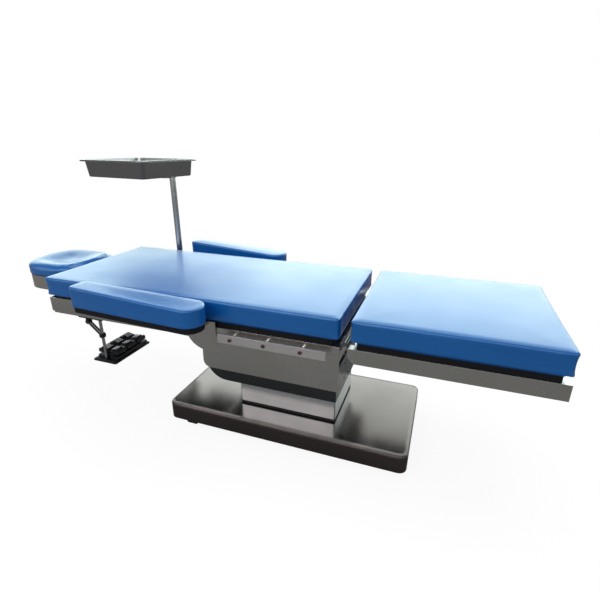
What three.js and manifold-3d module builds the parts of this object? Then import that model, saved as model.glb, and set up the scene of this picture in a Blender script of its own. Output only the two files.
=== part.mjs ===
// Ophthalmic operating table: wheeled base, lifting column, tilting top in two cushioned sections,
// sliding headrest, two armrests, instrument tray on a post and a hanging foot switch.
// Millimetres, +Z up, +X towards the foot end, +Y away from the side with the foot switch.
import * as THREE from 'three';
import { mergeVertices } from 'three/addons/utils/BufferGeometryUtils.js';
import Module from 'manifold-3d';

const wasm = await Module();
wasm.setup();

// Clearances that several pieces share
const touchGap = 0.3;
const runGap = 0.5;
const slotGap = 1.8;
const overrun = 5;

// Base
const baseLength = 925;
const baseWidth = 456;
const baseUnderside = 30;
const baseTop = 100;
const baseCornerRadius = 28;
const baseEdgeRadius = 8;
const baseSheet = 2;
const chassisBeamHeight = 34;
const chassisBeamWidth = 46;
const chassisRailOffset = 82;
const chassisPlateSize = 190;
const chassisPlateThickness = 12;
const chassisWall = 3;
const coverHoleMargin = 4;

// Casters
const casterWheelRadius = 25;
const casterWheelWidth = 13;
const casterTrail = 22;
const casterWebThickness = 7;
const casterAxleRadius = 4;
const casterStemRadius = 6;
const casterStemLength = 20;
const casterHeadRadius = 19;
const casterHeadThickness = 5;
const casterHeadInset = 87.5;
const casterHeadSideInset = 56;
const casterFootInset = 112.5;
const casterFootSideInset = 98;
const casterHubRadius = 9;
const casterHubDish = 2.5;

// Column
const sleeveLength = 380;
const sleeveWidth = 260;
const sleeveTop = 322;
const sleeveSheet = 2;
const sleeveBend = 4;
const sealHeight = 10;
const sealWidth = 8;
const guideSize = 110;
const guideWall = 5;
const guideTop = 312;
const liftTubeWall = 5;
const liftTubeBottom = 152;
const liftTubeDrop = 35;
const liftMotorRadius = 36;
const liftMotorHeight = 40;
const liftCylinderRadius = 21;
const liftCylinderTop = 290;
const liftRodRadius = 12;
const liftRodBottom = 152;

// Shroud that rides up and down with the top
const shroudHead = -325.5;
const shroudFoot = 196;
const shroudHalfWidth = 148;
const shroudBottom = 198;
const shroudTop = 325;
const shroudRadius = 86;
const shroudSheet = 2;
const shroudSleeveGap = 2;
const shroudScrewRadius = 4;
const shroudScrewHead = 1.5;
const shroudScrewHeightShares = [0.25, 0.75];
const shroudScrewSideShare = 1 / 6;

// Tilting trunnion and its drive
const tiltAxisDrop = 27;
const trunnionPinRadius = 9;
const trunnionPinOverhang = 4;
const trunnionBlockWidth = 56;
const trunnionBlockRadius = 22;
const trunnionLugThickness = 8;
const trunnionLugRadius = 18;
const headPlateSize = 118;
const headPlateThickness = 11.5;
const hangerThickness = 6.5;
const hangerWidth = 50;
const hangerDrop = 300;
const tiltDriveX = -158;
const tiltDriveBottom = 232;
const driveTubeRadius = 18;
const driveRodRadius = 8;
const drivePinRadius = 5;
const driveCheekThickness = 4;
const driveCheekRadius = 9;
const driveFlangeRadius = 23;
const driveFlangeThickness = 6;
const tiltArmWidth = 50;
const tiltArmThickness = 12;
const tiltArmDrop = 47;
const tiltArmReach = 183;
const tiltPinRise = 10;
const tiltLugThickness = 8;
const tiltLugMargin = 9;

// Top frame
const frameBottom = 432;
const frameDepth = 49;
const frameHalfWidth = 264.7;
const frameTube = 30;
const frameSpine = 60;
const frameWall = 3;
const headBlockReach = 95;
const lugBlockReach = 48;
const tiltLugBlock = 28;
const mainFrameHead = -926;
const mainFrameFoot = 230;
const legFrameHead = 252.5;
const legFrameFoot = 842.5;
const legChamferRun = 20;
const legChamferRise = 20;
const headGuideX = -800;
const midCrossX = -500;
const rearCrossX = -250;
const endPlateReach = 10;
const endPlateRise = 6;
const skirtFoot = -560;
const skirtRise = 13;

// Boards and cushions
const boardSpace = 19;
const plinthHeight = 8;
const cushionThickness = 71;
const plinthInset = 15;
const boardInset = 18;
const boardRadius = 12;
const cushionOverhang = 10.3;
const mainCushionHead = -933;
const mainCushionFoot = 227;
const legCushionHead = 260.7;
const legCushionFoot = 840;
const cushionCornerRadius = 14;
const cushionEdge = 14;
const cushionUnderEdge = 4.5;
const cushionCrown = 4;
const cushionBow = 3;
const cushionDraw = 2.5;
const cushionCrownReach = 150;

// Hood under the top: two aprons and a curved nose
const apronHead = -255.5;
const apronDrop = 109;
const apronSheet = 2;
const apronReturn = 14;
const apronCornerRadius = 26;
const noseHead = -332;
const noseDrop = 42;
const noseSheet = 2;
const noseFlange = 22;
const noseFoot = 6;
const noseBulgeShares = [0.3, 0.3];

// Side rails on stand-offs
const railHead = -170.5;
const railFoot = 196.5;
const railRise = 15;
const railHeight = 31;
const railThickness = 6;
const railStandoff = 29;
const railStandoffRadius = 5;
const railBoltRadius = 6.5;
const railBoltHead = 4;
const railBoltInset = 45;
const railBoltFootInset = 36;
const railBoltShares = [0, 0.49, 1];

// Hinge between the two sections
const hingeRise = 11;
const hingeRadius = 7;
const hingePinRadius = 3.5;
const hingeKnuckle = 18;
const hingeKnuckleGap = 0.5;
const hingeSideInset = 2.7;
const hingeLeafThickness = 3;
const hingeLeafDrop = 11;

// Leg drive
const legDriveY = 195;
const legDrivePinDrop = 85.7;
const legDriveLeverLean = 5;
const legDriveHead = -120;
const legDriveFoot = 100;
const legDriveMotorLength = 70;
const legDriveMotorHeight = 40;
const legDriveMotorDrop = 22;
const legDriveRodHead = 20;
const legDriveForkLength = 32;
const leverThickness = 8;
const leverEnd = 108;
const leverWidth = 26;
const legDriveSwing = 25;
const driveSaddleWidth = 26;

// Headrest
const headAxisX = -950;
const headAxisDrop = 19;
const headRodOffset = 70;
const headRodRadius = 9;
const headRodFoot = -650;
const headEyeRadius = 13;
const headEyeWidth = 20;
const headPinRadius = 6;
const headEarThickness = 6;
const headPadHead = -1238.5;
const headPadFoot = -952;
const headPadHalfWidth = 146;
const headPadThickness = 55;
const headPadSideDip = 3;
const headPadDish = 22;
const headPadRimWidth = 34;
const headPadPower = 3.4;
const headDishShares = [0.2, 0.45, 0.75, 1];
const headDishReachShare = 0.8;
const headFrameInset = 3;
const headFrameDrop = 17;
const headFrameDepth = 44;
const headFrameFoot = -966;
const headBoardInset = 8;
const headBoardSpace = 14;
const headKnobRadius = 17;
const headKnobHeight = 20;
const headKnobStemRadius = 5;
const headKnobLobes = 5;
const headKnobX = -910;

// Armrests
const armPivotX = -238;
const armPivotOut = 85.3;
const armHalfWidthFoot = 52;
const armHalfWidthHead = 40;
const armReach = 462;
const armCornerRadius = 18;
const armBoardThickness = 17;
const armBoardInset = 5;
const armPadThickness = 64;
const armPadHeadRise = 13;
const armPadEdge = 14;
const armPadCrown = 4;
const armNearAngle = 1.5;
const armFarAngle = 6;
const armPlateWidth = 58;
const armPlateThickness = 6;
const armPlateRise = 18;
const armBarRise = 45;
const armBarThickness = 8;
const armBarWidth = 34;
const armBossRadius = 24;
const armBossRise = 4;
const armStudRadius = 8;

// Tray and its post
const postX = -756;
const postOut = 77.3;
const postRadius = 13.5;
const postBottom = 400;
const postTop = 890;
const socketWidth = 44;
const socketRise = 68;
const socketWall = 8;
const postKnobRadius = 15;
const postKnobLength = 18;
const postKnobStemRadius = 4;
const postKnobStemLength = 14;
const trayLength = 427;
const trayWidth = 371;
const trayDepth = 78;
const trayBottom = 908;
const traySheet = 2;
const trayTaper = 9;
const trayCornerRadius = 46;
const trayRimWidth = 22;
const trayRimHeight = 8;
const trayCentreX = -933;
const trayCentreOut = 76.3;
const trayTurn = -8.5;
const trayHubRadius = 13.5;
const trayPlateLength = 240;
const trayPlateWidth = 60;
const trayPlateThickness = 4;
const trayPegRadius = 8;
const trayPegLength = 14;
const trayBendInShare = 0.4;
const trayBendUpShare = 0.25;

// Foot switch
const switchRodX = -733;
const switchRodSideInset = 28.7;
const switchRodRadius = 6;
const switchBaseBottom = 236;
const switchBaseHeight = 18;
const switchBaseWidth = 113;
const switchBaseLength = 205;
const switchBaseBevel = 6;
const housingInset = 8.4;
const switchRodInset = 15;
const switchPlateThickness = 8;
const switchPlateHead = -815;
const switchPlateFoot = -700;
const switchPlateWidth = 44;
const switchRingX = -791;
const switchRingHeight = 401;
const switchRingRadius = 9;
const switchRingThickness = 7;
const switchStayRadius = 4;
const switchStaySpacing = 5.5;
const switchCollarHeight = 350;
const switchCollarRadius = 12;
const switchCollarLength = 14;
const pedalCount = 3;
const pedalGap = 5;
const pedalWidth = 96;
const pedalRise = 8;
const pedalEndLift = 2;
const pedalTipInset = 7;
const pedalPadRecess = 1.5;
const pedalPadWidth = 26;
const pedalPadCentre = 23;
const pedalPadLift = 0.9;
const pedalPadMarginShare = 1 / 6;
const pedalEarThickness = 3;
const pedalPinRadius = 2.5;
const pedalPivotRise = 11;
const pedalSideRoom = 27;
const switchSocketRadius = 8.5;
const pedalFootRoom = 7;

// Fineness of round shapes
const roundSides = 24;
const smallSides = 14;
const cornerSteps = 4;
const edgeSteps = 4;
const lobeSteps = 6;
const lobeDepthShare = 0.14;
const cushionCrownShares = [0.12, 0.3, 0.6, 1];

// Values that other sizes give
const halfSleeveLength = sleeveLength / 2;
const halfSleeveWidth = sleeveWidth / 2;
const chassisTop = baseTop - baseSheet - touchGap;
const chassisBottom = chassisTop - chassisBeamHeight;
const casterHeadX = casterHeadInset - baseLength / 2;
const casterHeadY = baseWidth / 2 - casterHeadSideInset;
const casterFootX = baseLength / 2 - casterFootInset;
const casterFootY = baseWidth / 2 - casterFootSideInset;
const cushionHalfWidth = frameHalfWidth + cushionOverhang;
const hingeOuterEdge = frameHalfWidth - hingeSideInset;
const armPivotY = frameHalfWidth + armPivotOut;
const postY = frameHalfWidth + postOut;
const trayCentreY = frameHalfWidth + trayCentreOut;
const switchRodY = switchRodSideInset - frameHalfWidth;
const frameTop = frameBottom + frameDepth;
const plinthBottom = frameTop + boardSpace;
const cushionSide = plinthBottom + plinthHeight;
const cushionTop = cushionSide + cushionThickness;
const tiltAxisHeight = frameBottom - tiltAxisDrop;
const tiltArmTop = tiltAxisHeight - tiltArmDrop;
const liftTubeTop = tiltAxisHeight - liftTubeDrop;
const apronBottom = frameBottom - apronDrop;
const noseBottom = frameBottom - noseDrop;
const railBottom = frameBottom + railRise;
const railTop = railBottom + railHeight;
const hingeHeight = frameTop + hingeRise;
const hingeLeafBottom = frameTop - hingeLeafDrop;
const headAxisHeight = frameTop - headAxisDrop;
const headFrameBottom = frameTop - headFrameDrop;
const headFrameTop = headFrameBottom + headFrameDepth;
const headPadSide = headFrameTop + headBoardSpace;
const headPadRim = headPadSide + headPadThickness;
const armPlateBottom = frameBottom + armPlateRise;
const armBarBottom = armPlateBottom + armBarRise;
const armBoardBottom = armBarBottom + armBarThickness + armBossRise;
const armBoardTop = armBoardBottom + armBoardThickness;
const armPadTop = armBoardTop + armPadThickness;
const socketTop = frameBottom + socketRise;
const trayHubHeight = trayBottom - postTop - touchGap * 2;
const hingeX = (mainFrameFoot + legFrameHead) / 2 + hingeLeafThickness / 2;
const tiltPinHeight = tiltAxisHeight + tiltPinRise;
const boardBottom = frameTop + touchGap;
const boardTop = plinthBottom - touchGap;
const driveRunRadius = driveRodRadius + runGap;
const boltSpan = railFoot - railHead;

const steel = { color: 0x9b958c, roughness: 0.32, metalness: 1 };
const dullSteel = { color: 0x6f6c68, roughness: 0.42, metalness: 1 };
const chrome = { color: 0xd8dadc, roughness: 0.12, metalness: 1 };
const paintedSteel = { color: 0x43474a, roughness: 0.5, metalness: 0.3 };
const blackBoard = { color: 0x16171a, roughness: 0.55, metalness: 0 };
const blackPlastic = { color: 0x121214, roughness: 0.45, metalness: 0 };
const rubber = { color: 0x0c0c0d, roughness: 0.85, metalness: 0 };
const blueVinyl = { color: 0x2a78c8, roughness: 0.38, metalness: 0 };

const table = new THREE.Group();

function addPart(name, geometry, finish, group = table) {
  const mesh = new THREE.Mesh(geometry, new THREE.MeshStandardMaterial(finish));
  mesh.name = name;
  group.add(mesh);
  return mesh;
}

// Solids: joins and cuts
function toSolid(geometry) {
  const bare = geometry.clone();
  bare.deleteAttribute('normal');
  bare.deleteAttribute('uv');
  const merged = mergeVertices(bare, 1e-4);
  const vertProperties = new Float32Array(merged.attributes.position.array);
  const triVerts = new Uint32Array(merged.index.array);
  return new wasm.Manifold(new wasm.Mesh({ numProp: 3, vertProperties, triVerts }));
}

function toGeometry(solid) {
  const mesh = solid.getMesh();
  const geometry = new THREE.BufferGeometry();
  geometry.setAttribute('position', new THREE.BufferAttribute(mesh.vertProperties, 3));
  geometry.setIndex(new THREE.BufferAttribute(mesh.triVerts, 1));
  return geometry;
}

function join(...pieces) {
  let solid = toSolid(pieces[0]);
  for (const piece of pieces.slice(1)) {
    solid = solid.add(toSolid(piece));
  }
  return toGeometry(solid);
}

function cut(body, ...tools) {
  let solid = toSolid(body);
  for (const tool of tools) {
    solid = solid.subtract(toSolid(tool));
  }
  return toGeometry(solid);
}

function keep(body, region) {
  return toGeometry(toSolid(body).intersect(toSolid(region)));
}

// Basic forms, each given by the planes that bound it
function block(x0, x1, y0, y1, z0, z1) {
  const geometry = new THREE.BoxGeometry(x1 - x0, y1 - y0, z1 - z0);
  return geometry.translate((x0 + x1) / 2, (y0 + y1) / 2, (z0 + z1) / 2);
}

function barX(radius, x0, x1, y, z, sides = smallSides) {
  const geometry = new THREE.CylinderGeometry(radius, radius, x1 - x0, sides);
  return geometry.rotateZ(Math.PI / 2).translate((x0 + x1) / 2, y, z);
}

function barY(radius, y0, y1, x, z, sides = smallSides) {
  const geometry = new THREE.CylinderGeometry(radius, radius, y1 - y0, sides);
  return geometry.translate(x, (y0 + y1) / 2, z);
}

function barZ(radius, z0, z1, x, y, sides = smallSides) {
  const geometry = new THREE.CylinderGeometry(radius, radius, z1 - z0, sides);
  return geometry.rotateX(Math.PI / 2).translate(x, y, (z0 + z1) / 2);
}

// A side-view outline, given as [x, z] points or a shape, made solid between two planes along Y
function sideOutline(points, y0, y1) {
  let shape = points;
  if (Array.isArray(points)) {
    shape = new THREE.Shape(points.map(([x, z]) => new THREE.Vector2(x, z)));
  }
  const geometry = new THREE.ExtrudeGeometry(shape, {
    depth: y1 - y0, bevelEnabled: false, curveSegments: cornerSteps,
  });
  return geometry.rotateX(Math.PI / 2).translate(0, y1, 0);
}

// Rings of points, all with the same count, skinned into one closed solid
function skin(rings) {
  const count = rings[0].length;
  const positions = rings.flat(2);
  const index = [];
  for (let ring = 0; ring < rings.length - 1; ring += 1) {
    for (let k = 0; k < count; k += 1) {
      const next = (k + 1) % count;
      const low = ring * count;
      const high = low + count;
      index.push(low + k, low + next, high + next, low + k, high + next, high + k);
    }
  }
  for (const ring of [0, rings.length - 1]) {
    const centre = [0, 0, 0];
    for (const point of rings[ring]) {
      for (let axis = 0; axis < 3; axis += 1) {
        centre[axis] += point[axis] / count;
      }
    }
    const middle = positions.length / 3;
    positions.push(...centre);
    for (let k = 0; k < count; k += 1) {
      const next = (k + 1) % count;
      const first = ring * count + (ring === 0 ? next : k);
      const second = ring * count + (ring === 0 ? k : next);
      index.push(first, second, middle);
    }
  }
  const geometry = new THREE.BufferGeometry();
  geometry.setAttribute('position', new THREE.BufferAttribute(new Float32Array(positions), 3));
  geometry.setIndex(index);
  return geometry;
}

// A rounded rectangle seen from above, as points that keep their count when it is drawn in
function roundedLoop(x0, x1, y0, y1, radius, bow = 0) {
  const corners = [
    [x1 - radius, y1 - radius, 0],
    [x0 + radius, y1 - radius, Math.PI / 2],
    [x0 + radius, y0 + radius, Math.PI],
    [x1 - radius, y0 + radius, Math.PI * 1.5],
  ];
  const loop = [];
  corners.forEach(([cx, cy, start], corner) => {
    for (let step = 0; step <= cornerSteps; step += 1) {
      const angle = start + (Math.PI / 2) * (step / cornerSteps);
      loop.push([cx + radius * Math.cos(angle), cy + radius * Math.sin(angle)]);
    }
    const [nx, ny, nextStart] = corners[(corner + 1) % corners.length];
    const from = loop[loop.length - 1];
    const to = [nx + radius * Math.cos(nextStart), ny + radius * Math.sin(nextStart)];
    const inward = [-Math.cos(nextStart), -Math.sin(nextStart)];
    for (let step = 1; step < edgeSteps; step += 1) {
      const share = step / edgeSteps;
      const sag = bow * (1 - (2 * share - 1) ** 2);
      loop.push([
        from[0] + (to[0] - from[0]) * share + inward[0] * sag,
        from[1] + (to[1] - from[1]) * share + inward[1] * sag,
      ]);
    }
  });
  return loop;
}

function atHeight(loop, height) {
  return loop.map(([x, y]) => [x, y, height]);
}

// An upright slab with rounded corners
function roundedSlab(x0, x1, y0, y1, z0, z1, radius) {
  const loop = roundedLoop(x0, x1, y0, y1, radius);
  return skin([atHeight(loop, z0), atHeight(loop, z1)]);
}

// Rings of a cushion whose outline loop(inset) can be drawn in: sides, rounded edge, crown
function cushionRings(loop, bottom, top, edge, crown, draw, reach) {
  const rings = [
    atHeight(loop(cushionUnderEdge), bottom),
    atHeight(loop(0), bottom + cushionUnderEdge),
    atHeight(loop(draw), (bottom + top - edge) / 2),
    atHeight(loop(0), top - edge),
  ];
  const edgeCount = 3;
  for (let step = 1; step <= edgeCount; step += 1) {
    const angle = (Math.PI / 2) * (step / edgeCount);
    rings.push(atHeight(loop(edge * (1 - Math.cos(angle))), top - edge + edge * Math.sin(angle)));
  }
  for (const share of cushionCrownShares) {
    const rise = crown * Math.sin((Math.PI / 2) * share);
    rings.push(atHeight(loop(edge + (reach - edge) * share), top + rise));
  }
  return rings;
}

// Base

function makeBase() {
  const halfLength = baseLength / 2;
  const halfWidth = baseWidth / 2;
  const loop = (inset) => roundedLoop(
    -halfLength + inset, halfLength - inset, -halfWidth + inset, halfWidth - inset,
    Math.max(baseCornerRadius - inset, baseSheet),
  );
  const outerRings = [atHeight(loop(0), baseUnderside)];
  const edgeCount = 4;
  for (let step = 0; step <= edgeCount; step += 1) {
    const angle = (Math.PI / 2) * (step / edgeCount);
    outerRings.push(atHeight(
      loop(baseEdgeRadius * (1 - Math.cos(angle))),
      baseTop - baseEdgeRadius + baseEdgeRadius * Math.sin(angle),
    ));
  }
  const innerRings = [
    atHeight(loop(baseSheet), baseUnderside - overrun),
    atHeight(loop(baseSheet), baseTop - baseEdgeRadius),
    atHeight(loop(baseEdgeRadius), baseTop - baseSheet),
  ];
  const hole = guideSize / 2 + coverHoleMargin;
  const cover = cut(
    skin(outerRings),
    skin(innerRings),
    block(-hole, hole, -hole, hole, chassisBottom, baseTop + overrun),
  );
  addPart('base_cover', cover, dullSteel);

  const beam = (x, reach) => block(
    x - chassisBeamWidth / 2, x + chassisBeamWidth / 2, -reach, reach, chassisBottom, chassisTop,
  );
  const rail = (side) => block(
    casterHeadX, casterFootX,
    side * chassisRailOffset - chassisBeamWidth / 2, side * chassisRailOffset + chassisBeamWidth / 2,
    chassisBottom, chassisTop,
  );
  const headReach = casterHeadY + casterHeadRadius;
  const footReach = casterFootY + casterHeadRadius;
  const plate = chassisPlateSize / 2;
  const chassis = join(
    beam(casterHeadX, headReach),
    beam(casterFootX, footReach),
    rail(-1),
    rail(1),
    block(-plate, plate, -plate, plate, chassisTop - chassisPlateThickness, chassisTop),
  );
  const bores = casterPlaces().map(([x, y]) => barZ(
    casterStemRadius + touchGap, chassisBottom - overrun, chassisBottom + casterStemLength + touchGap, x, y,
  ));
  addPart('base_chassis', cut(chassis, ...bores), paintedSteel);
}

// Each caster's swivel axis, with the side towards which its wheel trails
function casterPlaces() {
  return [
    [casterHeadX, -casterHeadY, -1, 'head_front'],
    [casterHeadX, casterHeadY, 1, 'head_rear'],
    [casterFootX, -casterFootY, 1, 'foot_front'],
    [casterFootX, casterFootY, -1, 'foot_rear'],
  ];
}

function makeCasters() {
  for (const [x, y, side, label] of casterPlaces()) {
    const axleY = y + side * casterTrail;
    const web = casterWebThickness / 2;
    const headTop = chassisBottom - touchGap;
    const headBottom = headTop - casterHeadThickness;
    const fork = cut(
      join(
        barZ(casterStemRadius, headBottom, chassisBottom + casterStemLength, x, y),
        barZ(casterHeadRadius, headBottom, headTop, x, y),
        block(
          x - web, x + web,
          Math.min(y - casterHubRadius, axleY - casterHubRadius),
          Math.max(y + casterHubRadius, axleY + casterHubRadius),
          casterWheelRadius, headTop,
        ),
        barX(casterHubRadius, x - web, x + web, axleY, casterWheelRadius),
      ),
      barX(casterAxleRadius + runGap, x - web - overrun, x + web + overrun, axleY, casterWheelRadius),
    );
    addPart('caster_fork_' + label, fork, blackPlastic);

    const inner = web + runGap;
    const outer = inner + casterWheelWidth;
    const tread = (from, to) => cut(
      barX(casterWheelRadius, x + from, x + to, axleY, casterWheelRadius, roundSides),
      barX(
        casterWheelRadius - casterHubRadius,
        from > 0 ? x + to - casterHubDish : x + from - overrun,
        from > 0 ? x + to + overrun : x + from + casterHubDish,
        axleY, casterWheelRadius, roundSides,
      ),
    );
    const wheel = join(
      tread(inner, outer),
      tread(-outer, -inner),
      barX(casterAxleRadius, x - outer + casterHubDish, x + outer - casterHubDish, axleY, casterWheelRadius),
    );
    addPart('caster_wheel_' + label, wheel, rubber);
  }
}

// Column: fixed sleeve, seal, guide tube and lifting drive

function makeColumn() {
  const tube = (halfX, halfY, wall, z0, z1, bend) => cut(
    roundedSlab(-halfX, halfX, -halfY, halfY, z0, z1, bend),
    roundedSlab(
      -halfX + wall, halfX - wall, -halfY + wall, halfY - wall,
      z0 - overrun, z1 + overrun, Math.max(bend - wall, wall / 2),
    ),
  );
  const sealBottom = baseTop + touchGap;
  const sleeveBottom = sealBottom + sealHeight;
  addPart(
    'column_seal',
    tube(halfSleeveLength, halfSleeveWidth, sealWidth, sealBottom, sleeveBottom, sleeveBend),
    rubber,
  );
  addPart(
    'column_sleeve',
    tube(halfSleeveLength, halfSleeveWidth, sleeveSheet, sleeveBottom + touchGap, sleeveTop, sleeveBend),
    steel,
  );
  const guideBottom = chassisTop + touchGap;
  const guide = guideSize / 2;
  addPart('column_guide', tube(guide, guide, guideWall, guideBottom, guideTop, sleeveBend), paintedSteel);

  const liftCylinder = cut(
    join(
      barZ(liftMotorRadius, guideBottom, guideBottom + liftMotorHeight, 0, 0, roundSides),
      barZ(liftCylinderRadius, guideBottom, liftCylinderTop, 0, 0, roundSides),
    ),
    barZ(
      liftRodRadius + runGap, guideBottom + liftMotorHeight / 2, liftCylinderTop + overrun,
      0, 0, roundSides,
    ),
  );
  addPart('lift_cylinder', liftCylinder, paintedSteel);
}

// Everything that rises with the lift but doesn't tilt

function makeCarriage() {
  const tubeHalf = guideSize / 2 - guideWall - touchGap;
  const liftTube = cut(
    roundedSlab(-tubeHalf, tubeHalf, -tubeHalf, tubeHalf, liftTubeBottom, liftTubeTop, sleeveBend),
    roundedSlab(
      -tubeHalf + liftTubeWall, tubeHalf - liftTubeWall, -tubeHalf + liftTubeWall, tubeHalf - liftTubeWall,
      liftTubeBottom - overrun, liftTubeTop + overrun, liftTubeWall / 2,
    ),
  );
  addPart('lift_tube', liftTube, steel);

  const plateBottom = liftTubeTop + touchGap;
  const plateTop = plateBottom + headPlateThickness;
  const plate = headPlateSize / 2;
  const blockHalf = trunnionBlockWidth / 2;
  const hangerOuter = shroudHalfWidth - shroudSheet - touchGap;
  const hanger = hangerWidth / 2;
  const arm = tiltArmWidth / 2;
  const carriage = cut(
    join(
      block(-plate, plate, -plate, plate, plateBottom, plateTop),
      block(-trunnionBlockRadius, trunnionBlockRadius, -blockHalf, blockHalf, plateBottom, tiltAxisHeight),
      barY(trunnionBlockRadius, -blockHalf, blockHalf, 0, tiltAxisHeight, roundSides),
      block(-hanger, hanger, -hangerOuter, hangerOuter, plateTop - hangerThickness, plateTop),
      block(-hanger, hanger, hangerOuter - hangerThickness, hangerOuter, hangerDrop, plateTop),
      block(-hanger, hanger, -hangerOuter, -hangerOuter + hangerThickness, hangerDrop, plateTop),
      block(-tiltArmReach, -plate + tiltArmThickness, -arm, arm, tiltArmTop - tiltArmThickness, tiltArmTop),
      block(-plate, -plate + tiltArmThickness, -arm, arm, tiltArmTop - tiltArmThickness, plateTop),
    ),
    barY(
      trunnionPinRadius + touchGap, -blockHalf - overrun, blockHalf + overrun,
      0, tiltAxisHeight, roundSides,
    ),
    barZ(driveRunRadius, tiltArmTop - tiltArmThickness - overrun, tiltArmTop + overrun, tiltDriveX, 0),
    liftTubeClearance(),
  );
  const liftRod = barZ(liftRodRadius, liftRodBottom, plateTop, 0, 0, roundSides);
  addPart('carriage_head', join(carriage, liftRod), paintedSteel);

  const armUnderside = tiltArmTop - tiltArmThickness - touchGap;
  const tiltCylinder = cut(
    join(
      barZ(driveTubeRadius, tiltDriveBottom, armUnderside, tiltDriveX, 0, roundSides),
      barZ(driveFlangeRadius, armUnderside - driveFlangeThickness, armUnderside, tiltDriveX, 0, roundSides),
    ),
    barZ(driveRunRadius, tiltDriveBottom + driveFlangeThickness, armUnderside + overrun, tiltDriveX, 0),
  );
  addPart('tilt_cylinder', tiltCylinder, paintedSteel);
  makeShroud();
}

// Room in the head plate's arm for the lift tube, which stands right under the plate
function liftTubeClearance() {
  const room = guideSize / 2 - guideWall;
  return block(-room, room, -room, room, tiltArmTop - tiltArmThickness - overrun, liftTubeTop + touchGap);
}

function shroudOutline(inset, openTop) {
  const radius = shroudRadius - inset;
  const head = shroudHead + inset;
  const bottom = shroudBottom + inset;
  const foot = shroudFoot - inset;
  const top = openTop ? shroudTop + overrun : shroudTop;
  const shape = new THREE.Shape();
  shape.moveTo(head, top);
  shape.lineTo(head, bottom + radius);
  shape.absarc(head + radius, bottom + radius, radius, Math.PI, Math.PI * 1.5, false);
  shape.lineTo(foot, bottom);
  shape.lineTo(foot, top);
  shape.closePath();
  return shape;
}

function makeShroud() {
  const sleeveX = halfSleeveLength + shroudSleeveGap;
  const sleeveY = halfSleeveWidth + shroudSleeveGap;
  const shell = cut(
    sideOutline(shroudOutline(0, false), -shroudHalfWidth, shroudHalfWidth),
    sideOutline(
      shroudOutline(shroudSheet, true),
      -shroudHalfWidth + shroudSheet, shroudHalfWidth - shroudSheet,
    ),
    block(-sleeveX, sleeveX, -sleeveY, sleeveY, shroudBottom - overrun, shroudTop),
  );
  const reach = shroudHalfWidth + overrun;
  const seam = touchGap / 2;
  const half = (y0, y1) => block(
    shroudHead - overrun, shroudFoot + overrun, y0, y1, shroudBottom - overrun, shroudTop + overrun,
  );
  const screws = (side) => shroudScrewHeightShares.map((share) => barX(
    shroudScrewRadius, shroudFoot - shroudSheet / 2, shroudFoot + shroudScrewHead,
    side * shroudHalfWidth * shroudScrewSideShare, shroudBottom + (shroudTop - shroudBottom) * share,
  ));
  addPart('shroud_front', join(keep(shell, half(-reach, -seam)), ...screws(-1)), steel);
  addPart('shroud_rear', join(keep(shell, half(seam, reach)), ...screws(1)), steel);
}

// Room under a beam that is folded from sheet and open below
function beamHollow(x0, x1, y0, y1) {
  return block(
    x0 + frameWall, x1 - frameWall, y0 + frameWall, y1 - frameWall,
    frameBottom - overrun, frameTop - frameWall,
  );
}

// Hollows of the two side beams and, for each cross beam, of its front and rear halves
function frameHollows(x0, x1, crosses) {
  const inner = frameHalfWidth - frameTube;
  const hollows = [
    beamHollow(x0, x1, -frameHalfWidth, -inner),
    beamHollow(x0, x1, inner, frameHalfWidth),
  ];
  for (const [crossHead, crossFoot, reach] of crosses) {
    hollows.push(beamHollow(crossHead, crossFoot, -inner, -reach));
    hollows.push(beamHollow(crossHead, crossFoot, reach, inner));
  }
  return hollows;
}

// Top section under the patient's back and seat

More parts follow.
